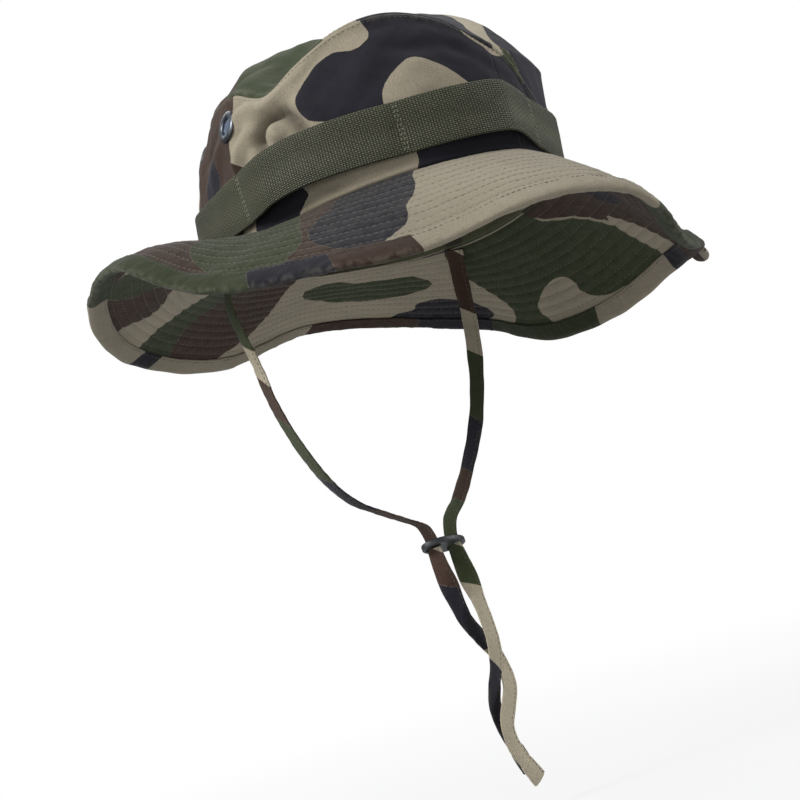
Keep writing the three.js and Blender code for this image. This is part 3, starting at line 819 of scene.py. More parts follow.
PANEL_BLOTCHES = [
    ("green", [(-80, -52), (-58, -54), (-36, -32), (-12, -26), (6, -8), (4, 14), (-20, 24), (-45, 18),
               (-60, 13), (-80, 12)]),
    ("brown", [(-80, 12), (-60, 13), (-45, 20), (-30, 40), (-36, 72), (-60, 78), (-86, 40)]),
    ("black", [(-50, -78), (-44, -62), (-28, -70), (-10, -72), (4, -62), (10, -50), (18, -48),
               (18, -62),
               (13, -74), (6, -84), (2, -102), (-20, -112), (-45, -100)]),
    ("black", [(24, -112), (12, -101), (10, -95), (13, -88), (20, -80), (28, -72), (40, -58), (60, -48),
               (90, -46), (100, -90), (60, -118)]),
    ("green", [(7, -110), (8, -98), (11, -95), (15, -94.6), (18, -97), (20, -110)]),
    ("brown", wavy((44, 8), 24, 17, 1.3)),
    ("black", wavy((10, 62), 27, 17, 0.4)),
    ("green", wavy((56, 54), 20, 16, 2.6)),
]
BRIM_TOP_BLOTCHES = [
    ("brown", [(52, -6), (52, 64), (55, 66), (60, 68), (66, 64), (65, 56), (63.6, 50), (63.3, 44),
               (64, 38),
               (66, 28), (68, 18), (70, 6), (70.5, -6)]),
    ("green", [(70.5, -6), (70, 6), (68, 18), (66, 28), (64, 38), (63.3, 44), (63.6, 50), (65, 56),
               (66, 64), (72, 76), (100, 76), (118, 72), (124, 55), (116, 46), (122, 20), (110, -6)]),
    ("brown", [(77, -6), (79, 5), (81.5, 11), (86, 15), (90.5, 20), (91.8, 30), (90, 42), (86, 51),
               (81, 58),
               (79, 64), (84, 78), (110, 78), (124, 64), (128, 40), (128, 12), (124, -6)]),
    ("black", [(39, -6), (38.7, 8), (38.5, 16), (39.5, 26), (41.5, 35), (41.6, 44), (42.5, 51),
               (45, 56),
               (47, 60), (48, 68), (52, 62), (54, 58), (56.5, 55), (60, 49), (61.6, 44), (62.5, 38),
               (62.2, 32), (61.9, 25), (60.3, 17), (60, 4), (58, -6)]),
    ("black", wavy((142, 30), 15, 15, 0.9)),
    ("green", wavy((172, 22), 19, 14, 2.3)),
    ("brown", wavy((-168, 52), 17, 12, 4.0)),
    ("black", wavy((-134, 26), 19, 15, 1.6)),
    ("green", wavy((-108, 48), 17, 14, 0.1)),
    ("brown", wavy((-84, 20), 16, 16, 3.1)),
    ("black", wavy((-62, 50), 12, 12, 2.0)),
    ("green", [(-8, 76), (-12, 60), (-20, 50), (-28, 40), (-36, 30), (-46, 24), (-50, 40),
               (-44, 60), (-36, 76)]),
]
BRIM_UNDER_BLOTCHES = [
    ("brown", [(36, -6), (36, 76), (10, 76), (-20, 76), (-50, 76), (-52, 60), (-56, 40), (-60, 28),
               (-66, 16), (-76, 6), (-78, -6)]),
    ("black", [(-27, 2), (-25, 10), (-31, 20), (-38, 27), (-46, 28), (-49, 20), (-46, 12), (-40, 5),
               (-34, 0)]),
    ("green", [(-57, 76), (-56, 62), (-58, 52), (-59, 40), (-61, 30), (-66, 18), (-76, 8), (-84, -6),
               (-112, -6), (-116, 20), (-108, 50), (-110, 76)]),
    ("beige", [(-50, 70), (-51, 58), (-53, 46), (-55, 36), (-57.5, 28), (-60, 36), (-59.5, 48),
               (-58.5, 58),
               (-57, 72)]),
    ("beige", [(-64, 74), (-68, 64), (-72, 60), (-75.5, 59), (-78, 58), (-81, 55), (-83.5, 50),
               (-83.5, 45),
               (-84, 41), (-86, 38), (-89, 37.5), (-94, 41), (-99, 50), (-97, 60), (-92, 65),
               (-84, 68), (-74, 70)]),
    ("brown", [(104, 30), (108, 38), (113, 46), (117, 52), (119, 60), (118, 76), (96, 76), (84, 60),
               (90, 30)]),
    ("green", [(100, 10), (110, 28), (112, 36), (117, 47), (118, 57), (118.5, 65), (120, 76), (126, 76),
               (124.5, 64), (128, 54), (131, 44), (131, 36), (130, 28), (129, 18), (124, 6)]),
    ("brown", [(127, 14), (129, 18), (131.5, 21), (135.5, 26), (139.5, 31), (142, 37), (142, 44),
               (139, 56),
               (138.5, 64), (138, 76), (122, 76), (124.5, 64), (128, 54), (131, 44), (131, 36),
               (130, 28)]),
    ("green", [(150.5, -6), (150.5, 30), (151, 76), (159, 76), (161, 62), (160, 50), (159, 38),
               (160, 26),
               (163, 12), (166, -6)]),
    ("brown", [(166, -6), (163, 12), (160, 26), (159, 38), (160, 50), (161, 62), (159, 76), (171, 76),
               (173, 66), (177, 57), (182, 48), (186, 32), (188, 10), (188, -6)]),
    ("green", wavy((-146, 26), 15, 16, 1.2)),
    ("black", wavy((-128, 56), 12, 12, 3.3)),
    ("black", wavy((66, 24), 14, 14, 0.3)),
    ("green", wavy((50, 56), 12, 11, 2.2)),
]
# Colours along the binding, each from its angle up to the next one
BINDING_STRETCHES = [(-180, "beige"), (-160, "brown"), (-136, "black"), (-118, "green"), (-84, "beige"),
                     (-59, "black"), (-50, "brown"), (-33, "green"), (-5, "beige"), (40.5, "brown"),
                     (55.5, "black"), (71, "green"), (122.5, "beige"), (151, "black"), (157, "beige")]
STRAP_STRETCHES = {
    "strap_right": [(0, "green"), (42, "beige"), (60, "brown"), (82, "green"), (118, "black"),
                    (146, "brown")],
    "strap_left": [(0, "brown"), (34, "beige"), (58, "green"), (96, "black"), (128, "brown"),
                   (150, "green")],
    "tail_right": [(0, "brown"), (21, "black"), (62, "beige")],
    "tail_left": [(0, "green"), (23, "beige"), (66, "black")],
}


def stretch_layers(position, across, stretches, slant, end=None):
    """Signed distances to coloured stretches along a tape, in the tape's own units of length."""
    x = np.ravel(position + slant * across)
    layers = {label: np.full(len(x), -7.0) for label in ("brown", "green", "black")}
    for i, (start, colour) in enumerate(stretches):
        stop = stretches[i + 1][0] if i + 1 < len(stretches) else (end if end is not None else 1e6)
        if colour == "beige":
            continue
        shape = np.clip(np.minimum(x - start, stop - x), -7, 7)
        layers[colour] = np.maximum(layers[colour], shape)
    return layers


# ---------------------------------------------------------------- crown
HALF_COLUMNS = 300
# The top panel's edge goes on under the wall: by this share of the wall, in this many rows
PANEL_TUCK = 0.03
TUCK_ROWS = 4
# Length over the top panel from its rim to its middle
PANEL_REACH = 80
# Radii at a vent: the cloth is open inside the first and its points are drawn in from the last
VENT_OPEN = 5.3
VENT_EDGE = 6.0
VENT_DRAWN = 6.5
WALL_FOLDS = [((82.5, 44), (77, 51.5), 2.9, -6.0), ((79, 51.8), (71, 50), 2.8, -6.5),
              ((72, 51), (67, 43), 2.8, -5.5), ((68, 44), (64.5, 34), 2.8, -4.5),
              ((82, 47), (79, 33), 2.8, -5.0), ((91, 61), (80, 60), 4.2, 4.0),
              ((82, 59), (67, 59), 4.2, 4.5),
              ((87, 47), (90, 34), 3.2, 4.5), ((76, 45), (71, 36), 3.4, 4.5),
              ((66, 54), (60, 40), 4, 2.6), ((87, 56), (91, 50), 3.0, -1.8),
              ((58, 70), (70, 60), 3.5, 1.8), ((52, 72), (66, 58), 3.0, -1.4),
              ((94, 66), (84, 67), 2.4, -1.4),
              ((30, 66), (4, 44), 6, 1.6), ((34, 58), (12, 52), 4, -1.4), ((22, 60), (-2, 38), 4, -1.4),
              ((50, 46), (36, 60), 6, 1.2), ((46, 74), (30, 70), 4, -1.2),
              ((100, 55), (112, 40), 5, 2.0),
              ((104, 66), (120, 52), 4, -1.9), ((118, 40), (130, 60), 5, 1.8),
              ((150, 55), (164, 42), 6, -1.8),
              ((-20, 30), (-40, 42), 5, -1.8), ((-60, 40), (-80, 30), 6, 2.0),
              ((-96, 45), (-112, 34), 5, -1.8),
              ((-130, 50), (-150, 38), 6, 1.8), ((-165, 60), (-175, 30), 5, -1.6),
              ((58, 3), (66, 7), 2.2, -1.4),
              ((48, 5), (53, 3), 2.0, 1.0)]


def wall_folds(angle, up):
    return sum(crease(angle, up, start, end, width, depth) for start, end, width, depth in WALL_FOLDS)


def wall_point(angle, up, height=0.0):
    """Point of the finished crown wall, at a height above the seam in millimetres."""
    angle, up = pair(angle, up)
    share = up / wall_height(angle)
    point = wall(angle, share)
    n = wall_normals(angle, share)
    relief = 0.7 * ripples(point, 34, 5) + 0.26 * ripples(point, 12, 6) + wall_folds(angle, up)
    top = around(TOP_SEAM, angle) * wall_height(angle)
    relief = relief * np.clip((up - 1) / 8, 0, 1) * np.clip((top - up) / 7, 0, 1)
    relief = relief + 0.55 * bell(up - 1.7, 1.1) - 1.3 * bell(up, 0.8)
    relief = relief + 0.4 * bell(up - top + 1.6, 1.5) - 0.6 * bell(up - top, 0.7)
    return point + n * (relief + height)[..., None]


def wall_half(name, start, end, material, vents):
    angles = np.linspace(start, end, HALF_COLUMNS)[:, None]
    rows = np.concatenate([np.linspace(0, 0.05, 10)[:-1], np.linspace(0.05, 1, 74)])[None]
    top = top_seam_share(angles) * wall_height(angles)
    up = rows * top
    angle = np.broadcast_to(angles, up.shape)
    grid = wall_point(angle, up)
    keep = np.ones(up.shape, bool)
    for centre in vents:
        away = grid - centre
        gap = np.linalg.norm(away, axis=-1)
        snap = (gap > VENT_OPEN) & (gap < VENT_DRAWN)
        grid[snap] = (centre + away / gap[..., None] * VENT_EDGE)[snap]
        keep &= gap > VENT_OPEN
    layers = camouflage(angle, up, WALL_BLOTCHES, 1.5, True)
    layers["wear"] = bell(up - top, 2.2) * 0.8
    # Painted shade for the bottoms of the folds, deepest where the dents are deepest
    layers["painted_fold_shading"] = np.clip(-wall_folds(angle, up) / 6, 0, 1)
    return cloth_sheet(name, grid, material, CLOTH, False, layers, keep)


def crown_profile(angle, row, strip_rows, rows):
    """Points of the top panel: its tucked edge, up what is left of the wall, then over the dome."""
    seam_share = top_seam_share(angle)
    on_wall = row < strip_rows
    rest = np.where(row < 0, PANEL_TUCK, 1 - seam_share)
    share = np.where(on_wall, seam_share + rest * row / np.where(row < 0, TUCK_ROWS, strip_rows), 1)
    dome = np.where(on_wall, 0, (row - strip_rows) / (rows - 1 - strip_rows)) ** 1.15
    point = np.where(on_wall[..., None], wall(angle, share), panel(angle, dome))
    return point, share, dome


def make_crown_top(material):
    columns, strip_rows, rows = 520, 16, 90
    angles = np.linspace(-180, 180, columns, endpoint=False)[:, None]
    angle, row = pair(angles, np.arange(-TUCK_ROWS, rows)[None])
    point, share, dome = crown_profile(angle, row, strip_rows, rows)
    n = grid_normals(point)
    up = (share - top_seam_share(angle)) * wall_height(angle) + dome * PANEL_REACH
    relief = 0.7 * ripples(point, 40, 15) + 0.2 * ripples(point, 13, 16)
    for start, end, width, depth in [((-30, -60), (10, 0), 6, 1.6), ((-60, -20), (-20, 10), 5, -1.5),
                                     ((-64, 6), (-30, 30), 5, 1.4), ((-50, -36), (-66, -10), 3, 1.2),
                                     ((-44, 0), (-68, 14), 3.5, -1.2), ((20, -50), (50, -10), 6, -1.4),
                                     ((0, 40), (40, 60), 7, 1.5), ((-10, 20), (-20, 70), 6, -1.5)]:
        relief = relief + crease(point[..., 0], point[..., 1], start, end, width, depth, 1.0)
    relief = relief * np.clip(up / 9, 0, 1) * np.clip((1 - dome) * 6, 0, 1)
    relief = relief + 0.45 * bell(up - 1.9, 1.5) - 0.7 * bell(np.maximum(up, 0), 0.7)
    relief = relief - 0.55 * np.clip(-up, 0, 1.2)
    grid = point + n * relief[..., None]
    layers = camouflage(point[..., 0], point[..., 1], PANEL_BLOTCHES)
    layers["wear"] = bell(up - 2, 2.2) * 0.9
    return cloth_sheet("crown_top_cloth", grid, material, CLOTH, True, layers)


def grid_normals(grid):
    du = np.roll(grid, -1, 0) - np.roll(grid, 1, 0)
    dv = np.gradient(grid, axis=1)
    n = -np.cross(du, dv)
    size = np.linalg.norm(n, axis=-1, keepdims=True)
    n = np.where(size > 1e-6, n / np.maximum(size, 1e-9), [0, 0, 1])
    return n


def seam_row(offset, on_top):
    """A row of stitches beside the crown's top seam, on the wall or on the top panel."""
    angle = np.linspace(-180, 180, 720)
    top = top_seam_share(angle) * wall_height(angle)
    if not on_top:
        up = top - offset
        return wall_point(angle, up, CLOTH / 2), wall_normals(angle, up / wall_height(angle))
    reach = top + offset
    over = np.maximum(reach - wall_height(angle), 0)
    share = np.minimum(reach / wall_height(angle), 1)
    dome = over / PANEL_REACH
    place = np.where((over > 0)[:, None], panel(angle, dome), wall(angle, share))
    n = np.where((over > 0)[:, None], normals(panel, angle, np.maximum(dome, 0.03), 0.01),
                 wall_normals(angle, share))
    return place + n * (CLOTH / 2 + 0.42), n


# ---------------------------------------------------------------- vents
def vent_frames():
    found = []
    for angle in VENT_ANGLES:
        centre = wall(angle, VENT_HEIGHT)
        out = wall_normals(angle, VENT_HEIGHT)
        side = np.cross([0, 0, 1], out)
        side /= np.linalg.norm(side)
        found.append((centre, side, np.cross(out, side), out))
    return found


def turned(name, profile, place, material, segments=56):
    """A ring turned about a vent's axis from a closed profile of (radius, height)."""
    centre, side, up, out = place
    t = np.linspace(0, 2 * np.pi, segments, endpoint=False)[:, None]
    p = np.array(profile, float)
    r, h = p[:, 0][None], p[:, 1][None]
    loops = (centre + (r * np.cos(t))[..., None] * side + (r * np.sin(t))[..., None] * up
             + (h + 0 * t)[..., None] * out)
    return closed_loft(name, loops, material, True)


def make_vents(ring_metal, screen_metal):
    made = []
    rim = [(4.2, -1.9), (4.7, -1.9), (4.75, 0.2), (5.3, 0.62), (7.4, 0.6), (7.85, 0.85), (7.6, 1.45),
           (6.7, 1.95), (5.6, 2.05), (4.7, 1.75), (4.25, 1.1)]
    washer = [(5.1, -2.15), (7.4, -2.15), (7.3, -2.6), (6.3, -2.75), (5.3, -2.6)]
    for number, place in enumerate(vent_frames(), 1):
        eyelet = turned(f"vent_ring_{number}", smooth_outline(rim, 3), place, ring_metal)
        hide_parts(f"vent_eyelet_{number}")
        back = turned(f"vent_back_ring_{number}", smooth_outline(washer, 3), place, ring_metal)
        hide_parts(f"vent_washer_{number}")
        screen = wire_screen(f"vent_mesh_{number}", place, screen_metal)
        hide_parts(f"vent_screen_{number}")
        for piece, slot in ((eyelet, "vent_metal"), (back, "vent_metal"), (screen, "vent_screen")):
            made.append(piece)
    return made


def wire_screen(name, place, material, pitch=0.72, wire=0.2, reach=4.35):
    """Woven wires across a vent: each passes over and under the ones it crosses."""
    centre, side, up, out = place
    lines = np.arange(-reach + 0.35, reach, pitch)
    pieces, faces, base = [], [], 0
    for first, second in ((side, up), (up, side)):
        for number, offset in enumerate(lines):
            half = math.sqrt(max(reach**2 - offset**2, 0.01))
            along = np.linspace(-half, half, 26)
            phase = np.pi * along / pitch + (number % 2) * np.pi + (0 if first is side else np.pi)
            lift = 0.5 + 0.11 * np.sin(phase)
            middle = (centre + along[:, None] * first + offset * second + lift[:, None] * out)
            turns = np.radians(np.arange(5) * 72)
            ring = np.stack([middle + wire / 2 * (math.cos(t) * second + math.sin(t) * out)
                             for t in turns], 1)
            pieces.append(ring.reshape(-1, 3))
            faces.append(grid_faces(26, 5, False, True) + base)
            base += 26 * 5
    return make_object(name, np.concatenate(pieces), np.concatenate(faces), material)


# ---------------------------------------------------------------- brim
BRIM_COLUMNS = 640


def quilt_relief(distance, side):
    """Height of the cloth between the stitch rows: full between rows, pulled in along each."""
    phase = (distance - QUILT_FIRST) / QUILT_PITCH
    inside = np.clip(phase, 0, QUILT_ROWS - 1)
    gap = np.abs(phase - np.round(inside)) * QUILT_PITCH
    groove, valley = (0.27, 0.0) if side > 0 else (0.24, 0.4)
    return -(groove * bell(gap, 0.6) + valley * bell(gap, 1.9)) * (distance > 2)


def brim_point(angle, distance, side, height=0.0):
    """Point of a finished brim cloth: side 1 above, -1 below."""
    angle, distance = pair(angle, distance)
    point = brim(angle, distance)
    n = brim_normals(angle, distance)
    away = brim_waves(point)
    pucker = 0.07 * ripples(point, 5.2, 23 if side > 0 else 24) + 0.02 * ripples(point, 2.6, 25)
    relief = quilt_relief(distance, side) + pucker * np.clip((BRIM_WIDTH - distance) / 8, 0.3, 1)
    relief = relief - 0.75 * bell(np.maximum(distance, 0), 1.1)
    shared = away * np.clip(distance / 12, 0, 1)
    return point + n * (shared + side * (PLY_PITCH + relief + height))[..., None], n


def brim_cloth(name, side, material, blotches):
    angles = np.linspace(-180, 180, BRIM_COLUMNS, endpoint=False)[:, None]
    by_seam = np.linspace(-2.2, 2.4, 12)[:-1]
    distance = np.concatenate([by_seam, np.linspace(2.4, BRIM_WIDTH - 1.4, 108)])[None]
    grid, _ = brim_point(angles, distance, side)
    angle, distance = pair(angles, distance)
    layers = camouflage(angle, distance, blotches, 2.3, True)
    layers["wear"] = 0.25 + 0.5 * bell(distance - BRIM_WIDTH, 6)
    return cloth_sheet(name, grid, material, 0.5, True, layers)


def brim_rows(side):
    angle = np.linspace(-180, 180, 1100)
    rows = []
    for i in range(QUILT_ROWS):
        distance = QUILT_FIRST + i * QUILT_PITCH
        shift = 0.22 * np.sin(np.radians(angle * 5 + 70 * i))
        points, n = brim_point(angle, distance + shift, side, 0.27)
        rows.append((points, side * n))
    return rows


def binding_section():
    """Half-outline of the folded binding, as (distance from the brim's edge, height)."""
    outer = [(-9.5, 1.7), (-9.3, 2.1), (-8.6, 2.25), (-6.5, 2.2), (-4.5, 2.25), (-2.5, 2.2), (-1, 2.1),
             (0.2, 1.8), (1.0, 1.2), (1.4, 0.5)]
    inner = [(-9.4, 1.5), (-6, 1.62), (-3, 1.6), (-1.2, 1.45), (-0.2, 0.9)]
    top = outer + [(1.45, 0.0)] + [(s, -h) for s, h in reversed(outer)]
    return np.array(top + [(s, -h) for s, h in inner] + [(0.0, 0.0)] + inner[::-1])


def make_binding(material):
    columns = 900
    angles = np.linspace(-180, 180, columns, endpoint=False)[:, None]
    section = binding_section()
    distance = BRIM_WIDTH + section[:, 0][None]
    height = section[:, 1][None]
    angle, distance = pair(angles, distance)
    base = brim(angle, distance)
    n = brim_normals(angle, distance)
    away = brim_waves(base)
    pucker = 0.22 * ripples(base, 6.5, 31) + 0.1 * ripples(base, 3.1, 32)
    edge = bell(distance - BRIM_WIDTH + BINDING_WIDTH - 1.6, 0.8)
    on_face = np.abs(height) > 1.65
    lifted = height + np.sign(height) * (pucker * on_face - 0.28 * edge * on_face)
    out_wave = 0.35 * ripples(base, 21, 33) * np.clip((distance - BRIM_WIDTH + 5) / 5, 0, 1)
    slide = normals_along(angle, distance)
    loops = base + n * (away + lifted)[..., None] + slide * out_wave[..., None]
    layers = stretch_layers(angle, distance - BRIM_WIDTH, BINDING_STRETCHES, 0.16, 180)
    layers = {label: values * 2.2 for label, values in layers.items()}
    layers["wear"] = bell(distance - BRIM_WIDTH - 1, 1.6)
    return closed_loft("brim_edge_binding", loops, material, True, layers)


def normals_along(angle, distance):
    step = brim(angle, distance + 0.05) - brim(angle, distance - 0.05)
    return step / np.linalg.norm(step, axis=-1, keepdims=True)


def binding_row(side, inset):
    angle = np.linspace(-180, 180, 1300)
    distance = BRIM_WIDTH - BINDING_WIDTH + inset + 0.15 * np.sin(np.radians(angle * 7))
    base = brim(angle, distance)
    n = brim_normals(angle, distance)
    away = brim_waves(base)
    return base + n * (away + side * 2.15)[:, None], side * n


def make_binding_lap(material):
    """The binding's end, folded under and left standing off the edge."""
    t = np.linspace(0, 1, 26)
    along = np.linspace(-50, -41.5, 26)
    turn = np.linspace(0, 2 * np.pi, 20, endpoint=False)
    loops = []
    for angle, share in zip(along, t):
        bulge = np.sin(np.pi * np.clip(share * 0.9 + 0.08, 0, 1)) ** 0.4
        reach = 1.0 + 5.6 * bulge
        distance = BRIM_WIDTH + 0.4 + reach * (0.5 + 0.5 * np.cos(turn))
        thick = (1.15 + 0.2 * np.sin(9 * share)) * np.sign(np.sin(turn)) * np.abs(np.sin(turn)) ** 0.5
        base = brim(np.full(20, angle), distance)
        n = brim_normals(np.full(20, angle), distance)
        away = brim_waves(base)
        loops.append(base + n * (away + thick)[:, None])
    loops = np.array(loops)
    across = np.broadcast_to((0.5 + 0.5 * np.cos(turn))[None], loops.shape[:2])
    layers = stretch_layers(t[:, None] * 20 + 0 * across, across, [(-5, "brown"), (13, "beige")], 5, 40)
    layers["wear"] = across * 0.9
    return closed_loft("binding_lap_cloth", loops, material, False, layers)


# ---------------------------------------------------------------- foliage band
def band_standoff(angle):
    """How far the webbing stands off the crown: none at a tack, and a kink between two tacks."""
    a = np.asarray(angle, float)
    found = np.zeros(a.shape)
    tacks = sorted(t % 360 for t in TACK_ANGLES)
    for start, end in zip(tacks, tacks[1:] + [tacks[0] + 360]):
        peak_angle, peak = next((k + 360 * (k < start), h) for k, h in BAND_KINKS
                                if start < k + 360 * (k < start) < end)
        where = (a - start) % 360
        rise = peak_angle - start
        fall = (end - start - where) / (end - peak_angle)
        ramp = np.minimum(np.clip(where / rise, 0, 1), np.clip(fall, 0, 1))
        softened = ramp - 0.05 * bell(where - rise, 1.6)
        found = np.where(where <= end - start, np.maximum(found, peak * softened), found)
    return found


def band_point(angle, up, height):
    angle, up = pair(angle, up)
    lift = around(BAND_LIFT, angle)
    share = (BAND_ABOVE_SEAM + lift + up) / wall_height(angle)
    _, out = opening(angle)
    base = wall(angle, share)
    lean = 0.35 * ripples(base, 70, 41) + 0.2 * ripples(base, 18, 42)
    flare = 0.9 * ((up / BAND_WIDTH - 0.5) ** 2)
    gap = CLOTH / 2 + 0.9 + band_standoff(angle) + np.maximum(lean, -0.5) + flare + height
    return base + out * gap[..., None]


def make_band(material):
    """Ribbed webbing: the ribs run along it and the weft crosses them."""
    columns, per_rib, ribs = 860, 4, 26
    face = ribs * per_rib + 1
    angles = np.linspace(-180, 180, columns, endpoint=False)[:, None]
    up = np.linspace(0, BAND_WIDTH, face)
    rib = np.abs(np.sin(np.pi * np.arange(face) / per_rib)) ** 0.7
    odd = (np.arange(face) // per_rib) % 2
    weft = 0.5 + 0.5 * np.cos(np.pi * np.arange(columns)[:, None] + np.pi * odd[None])
    height = BAND_THICK / 2 + 0.12 + 0.24 * rib[None] * (0.55 + 0.45 * weft)
    back_up = np.linspace(BAND_WIDTH, 0, 12)
    rows_up = np.concatenate([up, back_up])
    edge = np.clip(np.minimum(rows_up, BAND_WIDTH - rows_up) / 0.7, 0, 1) ** 0.5
    heights = np.concatenate([height, np.full((columns, 12), -BAND_THICK / 2)], 1)
    loops = band_point(angles, rows_up[None], BAND_THICK / 2 + heights * edge[None])
    return closed_loft("foliage_band_webbing", loops, material, True)


def make_tacks(material):
    made = []
    for i, middle in enumerate(TACK_ANGLES):
        rows = []
        for offset in (-0.45, 0.45):
            up = np.linspace(1.5, BAND_WIDTH - 1.5, 40)
            angle = middle + offset + 0.25 * np.sin(up * 1.1)
            points = band_point(angle, up, BAND_THICK + 0.3)
            _, out = opening(angle)
            rows.append((points, out))
        tack = stitches(f"band_tack_thread_{i + 1}", rows, material, 2.3, 0.72, 0.42)
        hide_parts(f"band_tack_{i + 1}")
        made.append(tack)
    return made


# ---------------------------------------------------------------- strap
def curve_through(points, spacing):
    """Evenly spaced points on a centripetal Catmull-Rom curve, with their tangents."""
    p = np.array(points, float)
    p = np.concatenate([[2 * p[0] - p[1]], p, [2 * p[-1] - p[-2]]])
    fine = []
    t = np.linspace(0, 1, 40, endpoint=False)[:, None]
    for i in range(1, len(p) - 2):
        d0, d1, d2 = (np.linalg.norm(p[k + 1] - p[k]) ** 0.5 for k in (i - 1, i, i + 1))
        m1 = ((p[i] - p[i - 1]) / d0 - (p[i + 1] - p[i - 1]) / (d0 + d1) + (p[i + 1] - p[i]) / d1) * d1
        m2 = ((p[i + 1] - p[i]) / d1 - (p[i + 2] - p[i]) / (d1 + d2) + (p[i + 2] - p[i + 1]) / d2) * d1
        fine.append((2 * t**3 - 3 * t**2 + 1) * p[i] + (t**3 - 2 * t**2 + t) * m1
                    + (3 * t**2 - 2 * t**3) * p[i + 1] + (t**3 - t**2) * m2)
    fine = np.concatenate(fine + [p[-2:-1]])
    length = np.concatenate([[0], np.cumsum(np.linalg.norm(np.diff(fine, axis=0), axis=1))])
    count = max(int(round(length[-1] / spacing)), 2)
    at = np.linspace(0, length[-1], count + 1)
    line = np.stack([np.interp(at, length, fine[:, k]) for k in range(3)], 1)
    tangent = np.gradient(line, axis=0)
    return line, tangent / np.linalg.norm(tangent, axis=1, keepdims=True), at


def strap_frames(route, width_from, width_to, turn_share):
    line, along, at = curve_through(route, 0.9)
    share = np.clip(at / at[-1] / turn_share, 0, 1)[:, None]
    width = np.array(width_from, float) * (1 - share) + np.array(width_to, float) * share
    width = width - along * (width * along).sum(1, keepdims=True)
    width /= np.linalg.norm(width, axis=1, keepdims=True)
    return line, width, np.cross(along, width), at


def tape(name, route, width_from, width_to, turn_share, material, colours, hem):
    """Flat cotton tape folded in half, with stitched edges and a hem at a free end."""
    line, width, thick, at = strap_frames(route, width_from, width_to, turn_share)
    turn = np.linspace(0, 2 * np.pi, 28, endpoint=False)
    x = np.sign(np.cos(turn)) * np.abs(np.cos(turn)) ** 0.42
    y = np.sign(np.sin(turn)) * np.abs(np.sin(turn)) ** 0.55
    middle = 1 - 0.22 * bell(np.abs(x) - 0.72, 0.1)
    end = at[-1] - at
    half_width = STRAP_WIDTH / 2 * (1 + 0.035 * np.sin(at / 7.3) + 0.03 * np.sin(at / 3.1 + 1))
    half_thick = np.full(len(at), STRAP_THICK / 2)
    if hem:
        folded = 1 / (1 + np.exp((end - 12) / 0.5))
        half_thick = half_thick * (1 + 0.85 * folded)
        half_width = half_width * (1 + 0.08 * folded)
    cup = 0.45 * np.sin(at / 17.0)[:, None] * (x[None] ** 2 - 0.4)
    loops = (line[:, None] + width[:, None] * (half_width[:, None] * x[None])[..., None]
             + thick[:, None] * (half_thick[:, None] * (y * middle)[None] + cup)[..., None])
    loops = loops + thick[:, None] * (0.1 * ripples(loops, 5, 51))[..., None]
    position, sideways = pair(at[:, None], x[None] * STRAP_WIDTH / 2)
    layers = stretch_layers(position, sideways, colours, 0.7)
    layers["wear"] = np.broadcast_to(np.abs(x)[None] ** 6, loops.shape[:2]) * 0.8
    made = closed_loft(name, loops, material, False, layers)
    rows = []
    for side in (-1, 1):
        place = line + width * (-half_width * 0.66)[:, None]
        lift = side * half_thick * 0.9 + 0.45 * np.sin(at / 17.0) * (0.44 - 0.4)
        rows.append((place + thick * lift[:, None], side * thick))
    if hem:
        across = np.linspace(-0.7, 0.7, 12)[:, None]
        for back in (2.0, 10.5):
            i = int(np.argmin(np.abs(end - back)))
            for side in (-1, 1):
                place = line[i] + width[i] * across * half_width[i] + thick[i] * side * half_thick[i]
                rows.append((place, np.repeat((side * thick[i])[None], 12, 0)))
    return made, rows, line * MM, at[-1] * MM


def make_slider(material):
    """Oval plate with two rounded holes, from a bevelled 2-D curve."""
    data = bpy.data.curves.new("slider_outline", "CURVE")
    data.dimensions = "2D"
    data.fill_mode = "BOTH"
    bevel = 0.75
    for centre, half_x, half_y in ((0, SLIDER_LENGTH / 2 - bevel, SLIDER_DEPTH / 2 - bevel),
                                   (-SLIDER_HOLE_PITCH / 2, 3.6 - 0.6 + bevel, 5.6 - 0.6 + bevel),
                                   (SLIDER_HOLE_PITCH / 2, 3.6 - 0.6 + bevel, 5.6 - 0.6 + bevel)):
        count = 72
        spline = data.splines.new("POLY")
        spline.points.add(count - 1)
        spline.use_cyclic_u = True
        for i in range(count):
            t = 2 * math.pi * i / count
            spline.points[i].co = ((centre + half_x * math.cos(t)) * MM, half_y * math.sin(t) * MM, 0, 1)
    data.extrude = (SLIDER_THICK / 2 - bevel) * MM
    data.bevel_depth = bevel * MM
    data.bevel_resolution = 4
    source = bpy.data.objects.new("slider_source", data)
    bpy.context.scene.collection.objects.link(source)
    bpy.context.view_layer.update()
    mesh = bpy.data.meshes.new_from_object(source.evaluated_get(bpy.context.evaluated_depsgraph_get()))
    bpy.data.objects.remove(source)
    made = bpy.data.objects.new("slider_disc", mesh)
    bpy.context.scene.collection.objects.link(made)
    weld = 1e-6
    work = bmesh.new()
    work.from_mesh(mesh)
    bmesh.ops.remove_doubles(work, verts=work.verts, dist=weld)
    for vertex in work.verts:
        x, y = vertex.co.x / MM, vertex.co.y / MM
        vertex.co.z += (0.35 * (1 - (y / 8.5) ** 2) - 0.25 * (x / 13) ** 2) * MM * 0.6
    bmesh.ops.recalc_face_normals(work, faces=work.faces)
    work.to_mesh(mesh)
    work.free()
    mesh.materials.clear()
    mesh.materials.append(material)
    mesh.polygons.foreach_set("use_smooth", np.ones(len(mesh.polygons), bool))
    mesh.set_sharp_from_angle(angle=math.radians(35))
    # It hangs with its near side raised, so its underside shows
    made.matrix_world = Matrix.Translation(Vector(SLIDER_CENTRE) * MM) @ Matrix.Rotation(
        math.radians(SLIDER_TILT), 4, Vector(SLIDER_TILT_AXIS))
    return made


